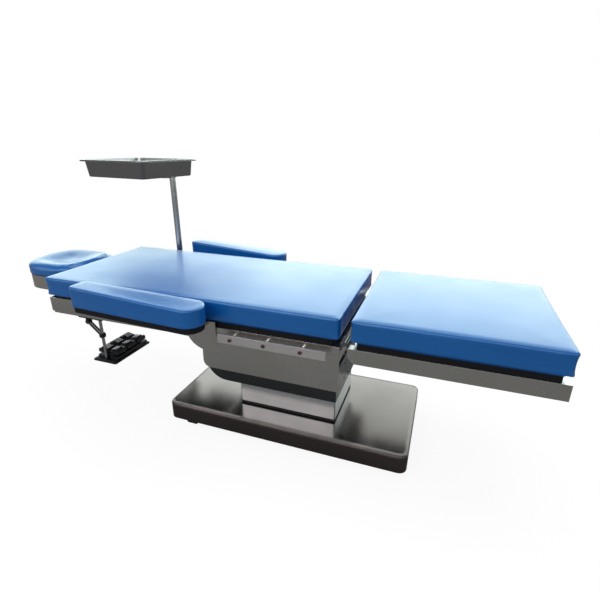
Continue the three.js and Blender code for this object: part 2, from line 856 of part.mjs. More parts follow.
function makeMainFrame() {
  const side = (sign) => block(
    mainFrameHead, mainFrameFoot,
    sign > 0 ? frameHalfWidth - frameTube : -frameHalfWidth,
    sign > 0 ? frameHalfWidth : -frameHalfWidth + frameTube,
    frameBottom, frameTop,
  );
  const crossEnd = frameHalfWidth - frameTube / 2;
  const cross = (x0, x1) => block(x0, x1, -crossEnd, crossEnd, frameBottom, frameTop);
  const lugInner = trunnionBlockWidth / 2 + touchGap;
  const lug = (sign) => {
    const y0 = sign > 0 ? lugInner : -lugInner - trunnionLugThickness;
    return join(
      block(
        -trunnionLugRadius, trunnionLugRadius, y0, y0 + trunnionLugThickness,
        tiltAxisHeight, frameBottom + overrun,
      ),
      barY(trunnionLugRadius, y0, y0 + trunnionLugThickness, 0, tiltAxisHeight, roundSides),
    );
  };
  const tiltLug = block(
    tiltDriveX - drivePinRadius - slotGap - tiltLugMargin,
    tiltDriveX + drivePinRadius + slotGap + tiltLugMargin,
    -tiltLugThickness / 2, tiltLugThickness / 2,
    tiltPinHeight - drivePinRadius - slotGap - tiltLugMargin, frameBottom + overrun,
  );
  const tiltSlotTravel = slotGap * 2;
  const slotRadius = drivePinRadius + slotGap;
  const tiltSlot = join(
    barY(slotRadius, -frameTube, frameTube, tiltDriveX - tiltSlotTravel, tiltPinHeight),
    barY(slotRadius, -frameTube, frameTube, tiltDriveX + tiltSlotTravel / 2, tiltPinHeight),
    block(
      tiltDriveX - tiltSlotTravel, tiltDriveX + tiltSlotTravel / 2, -frameTube, frameTube,
      tiltPinHeight - slotRadius, tiltPinHeight + slotRadius,
    ),
  );
  const halfSpine = frameSpine / 2;
  const spine = block(mainFrameHead, mainFrameFoot, -halfSpine, halfSpine, frameBottom, frameTop);
  const rodBore = (sign) => barX(
    headRodRadius + touchGap, mainFrameHead - overrun, headGuideX + frameTube * 2 + overrun,
    sign * headRodOffset, headAxisHeight,
  );
  const driveY0 = legDriveY - driveSaddleWidth / 2;
  const driveY1 = legDriveY + driveSaddleWidth / 2;
  const driveZ = hingeHeight - legDrivePinDrop;
  const saddleTop = frameBottom + overrun;
  const saddle = (x) => block(x, x + frameTube / 2, driveY0, driveY1, driveZ, saddleTop);
  const halfCentre = frameSpine / 2;
  const hollows = frameHollows(mainFrameHead, mainFrameFoot, [
    [mainFrameHead, mainFrameHead + frameTube, headBlockReach],
    [headGuideX, headGuideX + frameTube, headBlockReach],
    [midCrossX, midCrossX + frameTube, halfCentre],
    [rearCrossX, rearCrossX + frameTube, halfCentre],
    [-frameTube, frameTube, lugBlockReach],
    [mainFrameFoot - frameTube, mainFrameFoot, halfCentre],
  ]);
  const spineSpans = [
    [headGuideX + frameTube, midCrossX],
    [midCrossX + frameTube, rearCrossX],
    [tiltDriveX + tiltLugBlock, -frameTube],
    [frameTube, mainFrameFoot],
  ];
  for (const [head, foot] of spineSpans) {
    hollows.push(beamHollow(head, foot, -halfCentre, halfCentre));
  }
  const skirtTop = frameTop + skirtRise;
  const endHead = mainFrameHead - endPlateReach;
  const endPlate = (sign) => {
    const ends = [sign * headBlockReach, sign * frameHalfWidth];
    const skirt = [sign * (frameHalfWidth - frameWall), sign * frameHalfWidth];
    const low = frameBottom + endPlateRise;
    const shelf = frameTop - frameWall;
    const inside = mainFrameHead + overrun;
    return join(
      block(endHead, endHead + frameWall, Math.min(...ends), Math.max(...ends), low, skirtTop),
      block(endHead, inside, Math.min(...skirt), Math.max(...skirt), low, skirtTop),
      block(mainFrameHead, skirtFoot, Math.min(...skirt), Math.max(...skirt), shelf, skirtTop),
      block(endHead, inside, Math.min(...ends), Math.max(...ends), shelf, frameTop),
    );
  };
  const frame = cut(
    join(
      side(-1),
      side(1),
      spine,
      endPlate(-1),
      endPlate(1),
      cross(mainFrameHead, mainFrameHead + frameTube),
      cross(headGuideX, headGuideX + frameTube),
      cross(midCrossX, midCrossX + frameTube),
      cross(rearCrossX, rearCrossX + frameTube),
      cross(-frameTube, frameTube),
      cross(mainFrameFoot - frameTube, mainFrameFoot),
      lug(-1),
      lug(1),
      tiltLug,
      saddle(-frameTube),
    ),
    ...hollows,
    tiltSlot,
    rodBore(-1),
    rodBore(1),
    barX(driveTubeRadius + touchGap, -frameTube, frameTube, legDriveY, driveZ, roundSides),
    barZ(
      headKnobStemRadius + touchGap, frameBottom - overrun, headAxisHeight - headRodRadius - touchGap,
      headKnobX, -headRodOffset,
    ),
  );
  const pinHalf = lugInner + trunnionLugThickness + trunnionPinOverhang;
  const trunnionPin = barY(trunnionPinRadius, -pinHalf, pinHalf, 0, tiltAxisHeight, roundSides);
  addPart('main_frame', join(frame, trunnionPin), steel);
}

function makeBoardsAndCushions() {
  const sections = [
    ['main', mainCushionHead, mainCushionFoot],
    ['leg', legCushionHead, legCushionFoot],
  ];
  for (const [label, head, foot] of sections) {
    const board = roundedSlab(
      head + boardInset, foot - boardInset, -cushionHalfWidth + boardInset, cushionHalfWidth - boardInset,
      boardBottom, boardTop, boardRadius,
    );
    addPart(label + '_board', board, blackBoard);
    const loop = (inset) => roundedLoop(
      head + inset, foot - inset, -cushionHalfWidth + inset, cushionHalfWidth - inset,
      Math.max(cushionCornerRadius - inset, cushionEdge / 2), cushionBow,
    );
    const rings = [
      atHeight(loop(plinthInset), plinthBottom),
      atHeight(loop(plinthInset), cushionSide),
      ...cushionRings(
        loop, cushionSide, cushionTop, cushionEdge, cushionCrown, cushionDraw, cushionCrownReach,
      ),
    ];
    addPart(label + '_cushion', skin(rings), blueVinyl);
  }
}

function makeHood() {
  for (const [sign, label] of [[-1, 'front'], [1, 'rear']]) {
    const inner = sign * (frameHalfWidth + touchGap);
    const outer = inner + sign * apronSheet;
    const lip = inner - sign * apronReturn;
    const shape = new THREE.Shape();
    shape.moveTo(apronHead, frameTop);
    shape.lineTo(apronHead, apronBottom + apronCornerRadius);
    shape.absarc(
      apronHead + apronCornerRadius, apronBottom + apronCornerRadius, apronCornerRadius,
      Math.PI, Math.PI * 1.5, false,
    );
    shape.lineTo(mainFrameFoot, apronBottom);
    shape.lineTo(mainFrameFoot, frameTop);
    shape.closePath();
    const sheet = sideOutline(shape, Math.min(inner, outer), Math.max(inner, outer));
    const fold = block(
      apronHead + apronCornerRadius, mainFrameFoot,
      Math.min(lip, outer), Math.max(lip, outer), apronBottom, apronBottom + apronSheet,
    );
    addPart('apron_' + label, join(sheet, fold), steel);
  }

  const top = frameBottom - touchGap;
  const nose = new THREE.Shape();
  noseCurve(nose, 0, top);
  nose.lineTo(apronHead - touchGap, noseBottom);
  nose.lineTo(apronHead - touchGap, top);
  nose.closePath();
  const inside = new THREE.Shape();
  noseCurve(inside, noseSheet, top + overrun);
  inside.lineTo(apronHead + overrun, noseBottom + noseSheet);
  inside.lineTo(apronHead + overrun, top + overrun);
  inside.closePath();
  const shell = cut(
    sideOutline(nose, -frameHalfWidth, frameHalfWidth),
    sideOutline(inside, -frameHalfWidth + noseSheet, frameHalfWidth - noseSheet),
  );
  const flange = block(
    noseHead, noseHead + noseFlange + noseSheet, -frameHalfWidth, frameHalfWidth, top - noseSheet, top,
  );
  addPart('hood_nose', join(shell, flange), steel);
}

// The nose's flat curve from the frame down to its lower edge, drawn in by a sheet's thickness
function noseCurve(shape, inset, top) {
  const head = noseHead + noseFlange + inset;
  const bottom = noseBottom + inset;
  const foot = apronHead - touchGap - noseFoot;
  shape.moveTo(head, top);
  shape.lineTo(head, frameBottom - touchGap - noseSheet);
  shape.quadraticCurveTo(
    head + (foot - head) * noseBulgeShares[0],
    bottom + (frameBottom - touchGap - noseSheet - bottom) * noseBulgeShares[1],
    foot, bottom,
  );
}

function makeSideRails() {
  const height = (railBottom + railTop) / 2;
  for (const [sign, label] of [[-1, 'front'], [1, 'rear']]) {
    const seat = sign * (frameHalfWidth + touchGap + apronSheet + touchGap);
    const inner = seat + sign * railStandoff;
    const outer = inner + sign * railThickness;
    const across = (radius, from, to, x) => barY(
      radius, Math.min(from, to), Math.max(from, to), x, height,
    );
    const pieces = [
      block(railHead, railFoot, Math.min(inner, outer), Math.max(inner, outer), railBottom, railTop),
    ];
    for (const share of railBoltShares) {
      const x = railHead + railBoltInset + (boltSpan - railBoltInset * 2 - railBoltFootInset) * share;
      pieces.push(across(railStandoffRadius, seat, inner + sign * railThickness / 2, x));
      pieces.push(across(railBoltRadius, outer - sign * railThickness / 2, outer + sign * railBoltHead, x));
    }
    addPart('side_rail_' + label, join(...pieces), steel);
  }
}

// Leg section and the hinge that carries it

function makeLegSection() {
  const sidePlate = (y0, y1) => sideOutline([
    [legFrameHead, frameTop],
    [legFrameHead, frameBottom + legChamferRise],
    [legFrameHead + legChamferRun, frameBottom],
    [legFrameFoot, frameBottom],
    [legFrameFoot, frameTop],
  ], y0, y1);
  const crossEnd = frameHalfWidth - frameTube / 2;
  const cross = (x0, x1) => block(x0, x1, -crossEnd, crossEnd, frameBottom, frameTop);
  const crossHead = legFrameHead + legChamferRun;
  const halfSpine = frameSpine / 2;
  const legSpan = legFrameFoot - legFrameHead;
  const middleCross = legFrameHead + legSpan / 2;
  const ladder = join(
    sidePlate(-frameHalfWidth, -frameHalfWidth + frameTube),
    sidePlate(frameHalfWidth - frameTube, frameHalfWidth),
    block(crossHead, legFrameFoot, -halfSpine, halfSpine, frameBottom, frameTop),
    cross(crossHead, crossHead + frameTube),
    cross(middleCross, middleCross + frameTube),
    cross(legFrameFoot - frameTube, legFrameFoot),
  );
  const folded = cut(
    ladder,
    ...frameHollows(crossHead, legFrameFoot, [
      [crossHead, crossHead + frameTube, halfSpine],
      [middleCross, middleCross + frameTube, halfSpine],
      [legFrameFoot - frameTube, legFrameFoot, halfSpine],
    ]),
    beamHollow(crossHead + frameTube, middleCross, -halfSpine, halfSpine),
    beamHollow(middleCross + frameTube, legFrameFoot, -halfSpine, halfSpine),
  );
  addPart('leg_frame', join(folded, makeLever(crossHead)), steel);

  for (const [sign, label] of [[-1, 'front'], [1, 'rear']]) {
    makeHinge(sign, label);
  }
}

// The slotted lever that the leg drive's pin pushes
function makeLever(crossHead) {
  const y0 = legDriveY - leverThickness / 2;
  const y1 = legDriveY + leverThickness / 2;
  const pinX = hingeX + legDrivePinDrop * Math.tan(THREE.MathUtils.degToRad(legDriveLeverLean));
  const half = leverWidth / 2;
  const lowEnd = hingeHeight - leverEnd;
  const slotRadius = drivePinRadius + slotGap;
  const lean = THREE.MathUtils.degToRad(legDriveLeverLean);
  const atRadius = (radius) => [hingeX + radius * Math.sin(lean), hingeHeight - radius * Math.cos(lean)];
  const near = atRadius(legDrivePinDrop);
  const far = atRadius(legDrivePinDrop / Math.cos(THREE.MathUtils.degToRad(legDriveSwing)));
  const slot = join(
    barY(slotRadius, y0 - overrun, y1 + overrun, near[0], near[1]),
    barY(slotRadius, y0 - overrun, y1 + overrun, far[0], far[1]),
    sideOutline([
      [near[0] - slotRadius, near[1]],
      [far[0] - slotRadius, far[1]],
      [far[0] + slotRadius, far[1]],
      [near[0] + slotRadius, near[1]],
    ], y0 - overrun, y1 + overrun),
  );
  const blade = sideOutline([
    [crossHead + frameTube, frameBottom + frameTube / 2],
    [crossHead, frameBottom + frameTube / 2],
    [crossHead, frameBottom],
    [pinX - half, frameBottom - half],
    [pinX - half, lowEnd + half / 2],
    [pinX - half / 2, lowEnd],
    [pinX + half, lowEnd],
    [crossHead + frameTube, frameBottom],
  ], y0, y1);
  return cut(blade, slot);
}

function makeHinge(sign, label) {
  const spans = [];
  for (let k = 0; k < 3; k += 1) {
    const start = hingeOuterEdge - k * (hingeKnuckle + hingeKnuckleGap);
    spans.push(sign > 0 ? [start - hingeKnuckle, start] : [-start, -start + hingeKnuckle]);
  }
  const knuckle = ([y0, y1]) => barY(hingeRadius, y0, y1, hingeX, hingeHeight);
  const room = ([y0, y1]) => barY(
    hingeRadius + runGap, y0 - hingeKnuckleGap, y1 + hingeKnuckleGap, hingeX, hingeHeight,
  );
  const all = spans.flat();
  const low = Math.min(...all);
  const high = Math.max(...all);
  const leafTop = hingeHeight + hingeRadius / 2;
  const mainLeaf = block(
    mainFrameFoot + touchGap, mainFrameFoot + touchGap + hingeLeafThickness,
    low, high, hingeLeafBottom, leafTop,
  );
  const mainWeb = block(mainFrameFoot + touchGap, hingeX, low, high, hingeHeight - hingeRadius / 2, leafTop);
  const pin = barY(hingePinRadius, low, high, hingeX, hingeHeight);
  const main = join(cut(join(mainLeaf, mainWeb, knuckle(spans[0]), knuckle(spans[2])), room(spans[1])), pin);
  addPart('hinge_pin_leaf_' + label, main, chrome);

  const legLeaf = block(
    legFrameHead - touchGap - hingeLeafThickness, legFrameHead - touchGap,
    low, high, hingeLeafBottom, leafTop,
  );
  const legWeb = block(hingeX, legFrameHead - touchGap, low, high, hingeHeight - hingeRadius / 2, leafTop);
  const leg = cut(
    join(legLeaf, legWeb, knuckle(spans[1])),
    room(spans[0]),
    room(spans[2]),
    barY(hingePinRadius + touchGap, low - overrun, high + overrun, hingeX, hingeHeight),
  );
  addPart('hinge_leaf_' + label, leg, chrome);
}

// Push rods of the two drives

function makeDriveRods() {
  const cheekIn = tiltLugThickness / 2 + runGap;
  const cheekOut = cheekIn + driveCheekThickness;
  const yokeDrop = driveCheekRadius + drivePinRadius + slotGap;
  const rodTop = tiltPinHeight - yokeDrop - driveCheekRadius;
  const tiltRod = cut(
    join(
      barZ(
        driveRodRadius, tiltDriveBottom + driveFlangeRadius * 2, rodTop + driveCheekThickness,
        tiltDriveX, 0,
      ),
      block(
        tiltDriveX - driveCheekRadius, tiltDriveX + driveCheekRadius, -cheekOut, cheekOut,
        rodTop, tiltPinHeight,
      ),
      barY(driveCheekRadius, -cheekOut, cheekOut, tiltDriveX, tiltPinHeight),
    ),
    block(
      tiltDriveX - driveCheekRadius * 2, tiltDriveX + driveCheekRadius * 2, -cheekIn, cheekIn,
      rodTop + driveCheekThickness, tiltPinHeight + driveCheekRadius + overrun,
    ),
  );
  const tiltPin = barY(drivePinRadius, -cheekOut, cheekOut, tiltDriveX, tiltPinHeight);
  addPart('tilt_rod', join(tiltRod, tiltPin), chrome);

  const height = hingeHeight - legDrivePinDrop;
  const pinX = hingeX + legDrivePinDrop * Math.tan(THREE.MathUtils.degToRad(legDriveLeverLean));
  const legCheekIn = leverThickness / 2 + runGap;
  const legCheekOut = legCheekIn + driveCheekThickness;
  const forkStart = pinX - legDriveForkLength;
  const legRod = cut(
    join(
      barX(driveRodRadius, legDriveRodHead, forkStart + driveCheekThickness, legDriveY, height),
      block(
        forkStart, pinX, legDriveY - legCheekOut, legDriveY + legCheekOut,
        height - driveCheekRadius, height + driveCheekRadius,
      ),
      barY(driveCheekRadius, legDriveY - legCheekOut, legDriveY + legCheekOut, pinX, height),
    ),
    block(
      forkStart + driveCheekThickness, pinX + driveCheekRadius + overrun,
      legDriveY - legCheekIn, legDriveY + legCheekIn,
      height - driveCheekRadius - overrun, height + driveCheekRadius + overrun,
    ),
  );
  const legPin = barY(drivePinRadius, legDriveY - legCheekOut, legDriveY + legCheekOut, pinX, height);
  addPart('leg_rod', join(legRod, legPin), chrome);

  const motorHalf = driveTubeRadius;
  const cylinder = cut(
    join(
      barX(driveTubeRadius, legDriveHead, legDriveFoot, legDriveY, height, roundSides),
      block(
        legDriveHead - legDriveMotorLength, legDriveHead + driveFlangeThickness,
        legDriveY - motorHalf, legDriveY + motorHalf,
        height - legDriveMotorDrop, height - legDriveMotorDrop + legDriveMotorHeight,
      ),
    ),
    barX(driveRunRadius, legDriveHead + legDriveMotorLength / 2, legDriveFoot + overrun, legDriveY, height),
  );
  addPart('leg_cylinder', cylinder, paintedSteel);
}

// Headrest on two sliding rods

function headLoop(inset, x0 = headPadHead, x1 = headPadFoot) {
  const halfX = (x1 - x0) / 2 - inset;
  const halfY = headPadHalfWidth - inset;
  const centre = (x0 + x1) / 2;
  const count = 40;
  const loop = [];
  for (let k = 0; k < count; k += 1) {
    const angle = (Math.PI * 2 * k) / count;
    const c = Math.cos(angle);
    const s = Math.sin(angle);
    loop.push([
      centre + halfX * Math.sign(c) * Math.abs(c) ** (2 / headPadPower),
      halfY * Math.sign(s) * Math.abs(s) ** (2 / headPadPower),
    ]);
  }
  return loop;
}

function makeHeadrest() {
  const eye = (sign) => {
    const y = sign * headRodOffset;
    const half = headEyeWidth / 2;
    return join(
      barX(headRodRadius, headAxisX, headRodFoot, y, headAxisHeight),
      barY(headEyeRadius, y - half, y + half, headAxisX, headAxisHeight),
    );
  };
  const brace = block(
    headAxisX - headEyeRadius / 2, headAxisX + headEyeRadius, -headRodOffset, headRodOffset,
    headAxisHeight - headEyeRadius / 2, headAxisHeight + headEyeRadius / 2,
  );
  const slide = cut(
    join(eye(-1), eye(1), brace),
    barY(headPinRadius + touchGap, -headPadHalfWidth, headPadHalfWidth, headAxisX, headAxisHeight),
  );
  addPart('head_slide', slide, chrome);

  const ears = [];
  for (const sign of [-1, 1]) {
    const y = sign * (headRodOffset + headEyeWidth / 2 + runGap + headEarThickness / 2);
    const y0 = y - headEarThickness / 2;
    const y1 = y + headEarThickness / 2;
    ears.push(block(
      headFrameFoot - overrun, headAxisX, y0, y1,
      headAxisHeight - headEyeRadius, headAxisHeight + headEyeRadius,
    ));
    ears.push(barY(headEyeRadius, y0, y1, headAxisX, headAxisHeight));
  }
  const pinHalf = headRodOffset + headEyeWidth / 2 + runGap + headEarThickness;
  const frameLoop = headLoop(headFrameInset);
  const rimTop = headPadSide - touchGap;
  const pan = keep(
    skin([atHeight(frameLoop, headFrameBottom), atHeight(frameLoop, rimTop)]),
    block(
      headPadHead - overrun, headFrameFoot, -headPadHalfWidth, headPadHalfWidth,
      headFrameBottom - overrun, rimTop + overrun,
    ),
  );
  const hollowLoop = headLoop(headFrameInset + frameWall);
  const hollow = keep(
    skin([atHeight(hollowLoop, headFrameBottom - overrun), atHeight(hollowLoop, headFrameTop - frameWall)]),
    block(
      headPadHead - overrun, headFrameFoot - frameWall, -headPadHalfWidth, headPadHalfWidth,
      headFrameBottom - overrun * 2, headFrameTop,
    ),
  );
  const seat = skin([atHeight(hollowLoop, headFrameTop), atHeight(hollowLoop, rimTop + overrun)]);
  const pin = barY(headPinRadius, -pinHalf, pinHalf, headAxisX, headAxisHeight);
  const frame = join(cut(pan, hollow, seat), ...ears, pin);
  addPart('head_frame', frame, steel);

  const boardLoop = headLoop(headBoardInset);
  addPart('head_board', skin([
    atHeight(boardLoop, headFrameTop + touchGap),
    atHeight(boardLoop, headPadSide - touchGap),
  ]), blackBoard);

  const dip = (y) => headPadSideDip * (y / headPadHalfWidth) ** 2;
  const edge = headPadRimWidth / 4;
  const lift = (loop, drop) => loop.map(([x, y]) => [x, y, headPadRim - dip(y) - drop]);
  const rings = [
    atHeight(headLoop(edge), headPadSide),
    atHeight(headLoop(0), headPadSide + edge),
    lift(headLoop(cushionDraw / 2), headPadRimWidth / 2),
    lift(headLoop(edge / 2), edge),
    lift(headLoop(headPadRimWidth / 2), 0),
  ];
  const rimInset = headPadRimWidth / 2;
  for (const share of headDishShares) {
    const inset = rimInset + (headPadHalfWidth * headDishReachShare - rimInset) * share;
    const drop = headPadDish * Math.sin((Math.PI / 2) * share) ** 2;
    rings.push(headLoop(inset).map(([x, y]) => [x, y, headPadRim - dip(y) * (1 - share) - drop]));
  }
  addPart('head_cushion', skin(rings), blueVinyl);
}

function starKnob(radius, height, lobes) {
  const shape = new THREE.Shape();
  const steps = lobes * lobeSteps;
  for (let k = 0; k <= steps; k += 1) {
    const angle = (Math.PI * 2 * k) / steps;
    const reach = radius * (1 - lobeDepthShare + lobeDepthShare * Math.cos(angle * lobes));
    if (k === 0) {
      shape.moveTo(reach, 0);
    } else if (k < steps) {
      shape.lineTo(reach * Math.cos(angle), reach * Math.sin(angle));
    }
  }
  shape.closePath();
  return new THREE.ExtrudeGeometry(shape, { depth: height, bevelEnabled: false });
}

function makeHeadKnob() {
  const top = frameBottom - headKnobHeight / 2;
  const grip = starKnob(headKnobRadius, headKnobHeight, headKnobLobes);
  grip.translate(headKnobX, -headRodOffset, top - headKnobHeight);
  const stemTop = headAxisHeight - headRodRadius - touchGap * 2;
  const stem = barZ(headKnobStemRadius, top - headKnobHeight / 2, stemTop, headKnobX, -headRodOffset);
  addPart('head_clamp_knob', join(grip, stem), blackPlastic);
}

// Armrests, each turning on a stud near its rounded end

function armLoop(inset) {
  const footRadius = armHalfWidthFoot - inset;
  const headHalf = armHalfWidthHead - inset;
  const headX = -armReach + inset;
  const corner = Math.max(armCornerRadius - inset, armPadEdge / 3);
  const footSteps = 12;
  const loop = [];
  for (let step = 0; step <= footSteps; step += 1) {
    const angle = -Math.PI / 2 + Math.PI * (step / footSteps);
    loop.push([footRadius * Math.cos(angle), footRadius * Math.sin(angle)]);
  }
  const side = (sign, from, to) => {
    for (let step = 1; step < edgeSteps; step += 1) {
      const share = from + (to - from) * (step / edgeSteps);
      loop.push([(headX + corner) * share, sign * (footRadius + (headHalf - footRadius) * share)]);
    }
  };
  side(1, 0, 1);
  const cornerCentres = [
    [headX + corner, headHalf - corner, Math.PI / 2],
    [headX + corner, -headHalf + corner, Math.PI],
  ];
  for (const [cx, cy, start] of cornerCentres) {
    for (let step = 0; step <= cornerSteps; step += 1) {
      const angle = start + (Math.PI / 2) * (step / cornerSteps);
      loop.push([cx + corner * Math.cos(angle), cy + corner * Math.sin(angle)]);
    }
  }
  side(-1, 1, 0);
  return loop;
}

// A ring of an armrest's pad, which grows thicker towards the head end
function armWedge(ring) {
  return ring.map(([x, y, z]) => {
    const share = Math.max(-x, 0) / armReach;
    const height = (z - armBoardTop - touchGap) / armPadThickness;
    return [x, y, z + armPadHeadRise * share * height];
  });
}

function makeArmrests() {
  for (const [sign, label] of [[-1, 'front'], [1, 'rear']]) {
    const arm = new THREE.Group();
    arm.position.set(armPivotX, sign * armPivotY, 0);
    arm.rotation.z = -THREE.MathUtils.degToRad(sign > 0 ? armFarAngle : armNearAngle);
    table.add(arm);
    const boardLoop = armLoop(armBoardInset);
    const board = cut(
      skin([atHeight(boardLoop, armBoardBottom), atHeight(boardLoop, armBoardTop)]),
      barZ(armStudRadius + touchGap, armBoardBottom - overrun, armBoardTop + overrun, 0, 0),
    );
    addPart('arm_board_' + label, board, blackBoard, arm);
    const rings = cushionRings(
      armLoop, armBoardTop + touchGap, armPadTop, armPadEdge, armPadCrown, cushionDraw / 2,
      armHalfWidthHead - armPadEdge / 2,
    );
    addPart('arm_cushion_' + label, skin(rings.map(armWedge)), blueVinyl, arm);

    const seat = sign * (frameHalfWidth + touchGap + apronSheet + touchGap);
    const face = seat + sign * armPlateThickness;
    const barEnd = sign * armPivotY;
    const barTop = armBarBottom + armBarThickness;
    const plateHead = armPivotX - armPlateWidth / 4;
    const bracket = join(
      block(
        plateHead, plateHead + armPlateWidth,
        Math.min(seat, face), Math.max(seat, face), armPlateBottom, barTop,
      ),
      block(
        plateHead, plateHead + armBarWidth,
        Math.min(seat, barEnd), Math.max(seat, barEnd), armBarBottom, barTop,
      ),
      barZ(armBossRadius, armBarBottom, armBoardBottom - touchGap, armPivotX, barEnd, roundSides),
      barZ(armStudRadius, armBarBottom, armBoardTop - touchGap, armPivotX, barEnd),
    );
    addPart('arm_bracket_' + label, bracket, steel);
  }
}

// Instrument tray on its post

function makeTray() {
  const seat = frameHalfWidth + touchGap;
  const half = socketWidth / 2;
  const socket = cut(
    join(
      block(postX - half, postX + half, seat, postY, frameBottom + socketWall / 2, socketTop),
      barZ(postRadius + socketWall, frameBottom + socketWall / 2, socketTop, postX, postY, roundSides),
    ),
    barZ(postRadius + touchGap, frameBottom, socketTop + overrun, postX, postY, roundSides),
    barY(
      postKnobStemRadius + touchGap, postY + postRadius / 2, postY + postRadius + socketWall + overrun,
      postX, (frameTop + frameBottom) / 2,
    ),
  );
  addPart('post_socket', socket, steel);

  const post = join(
    barZ(postRadius, postBottom, postTop, postX, postY, roundSides),
    barZ(trayPegRadius, postTop - overrun, postTop + trayPegLength, postX, postY),
  );
  addPart('tray_post', post, chrome);

  const knobStart = postY + postRadius + touchGap;
  const knobHeight = (frameTop + frameBottom) / 2;
  const grip = starKnob(postKnobRadius, postKnobLength, headKnobLobes).rotateX(-Math.PI / 2);
  grip.translate(postX, knobStart + postKnobStemLength, knobHeight);
  const stemEnd = knobStart + postKnobStemLength + postKnobLength / 2;
  const knob = join(grip, barY(postKnobStemRadius, knobStart, stemEnd, postX, knobHeight));
  addPart('post_clamp_knob', knob, blackPlastic);

  const turn = THREE.MathUtils.degToRad(trayTurn);
  const trayGroup = new THREE.Group();
  trayGroup.position.set(trayCentreX, trayCentreY, 0);
  trayGroup.rotation.z = turn;
  table.add(trayGroup);
  const plateTop = trayBottom - touchGap;
  const plateBottom = plateTop - trayPlateThickness;
  const hub = new THREE.Vector2(postX - trayCentreX, postY - trayCentreY);
  hub.rotateAround(new THREE.Vector2(0, 0), -turn);
  const hubBottom = plateTop - trayHubHeight;
  const holder = cut(
    join(
      block(
        hub.x - trayPlateLength, hub.x - trayHubRadius / 2, hub.y - trayPlateWidth / 2, hub.y + trayPlateWidth / 2,
        plateBottom, plateTop,
      ),
      barZ(trayHubRadius, hubBottom, plateTop, hub.x, hub.y, roundSides),
    ),
    barZ(trayPegRadius + touchGap, hubBottom - overrun, plateTop - traySheet, hub.x, hub.y),
  );
  addPart('tray_holder', holder, steel, trayGroup);

  const halfLength = trayLength / 2;
  const halfWidth = trayWidth / 2;
  const loop = (inset) => roundedLoop(
    -halfLength + inset, halfLength - inset, -halfWidth + inset, halfWidth - inset,
    Math.max(trayCornerRadius - inset, traySheet * 2),
  );
  const rim = trayBottom + trayDepth;
  const wallTop = trayRimWidth;
  const wallFoot = trayRimWidth + trayTaper;
  const floorRadius = trayTaper / 2;
  const outer = skin([
    atHeight(loop(wallFoot + floorRadius), trayBottom),
    atHeight(loop(wallFoot + floorRadius * trayBendInShare), trayBottom + floorRadius * trayBendUpShare),
    atHeight(loop(wallFoot), trayBottom + floorRadius),
    atHeight(loop(wallTop), rim - trayRimHeight),
    atHeight(loop(0), rim - trayRimHeight),
    atHeight(loop(0), rim - trayRimHeight / 3),
    atHeight(loop(trayRimHeight / 3), rim),
  ]);
  const inner = skin([
    atHeight(loop(wallFoot + floorRadius), trayBottom + traySheet),
    atHeight(loop(wallFoot + traySheet), trayBottom + floorRadius),
    atHeight(loop(wallTop + traySheet), rim - trayRimHeight),
    atHeight(loop(wallTop), rim + traySheet),
  ]);
  addPart('instrument_tray', cut(outer, inner), steel, trayGroup);
}

// Foot switch that hangs from the front side of the top frame

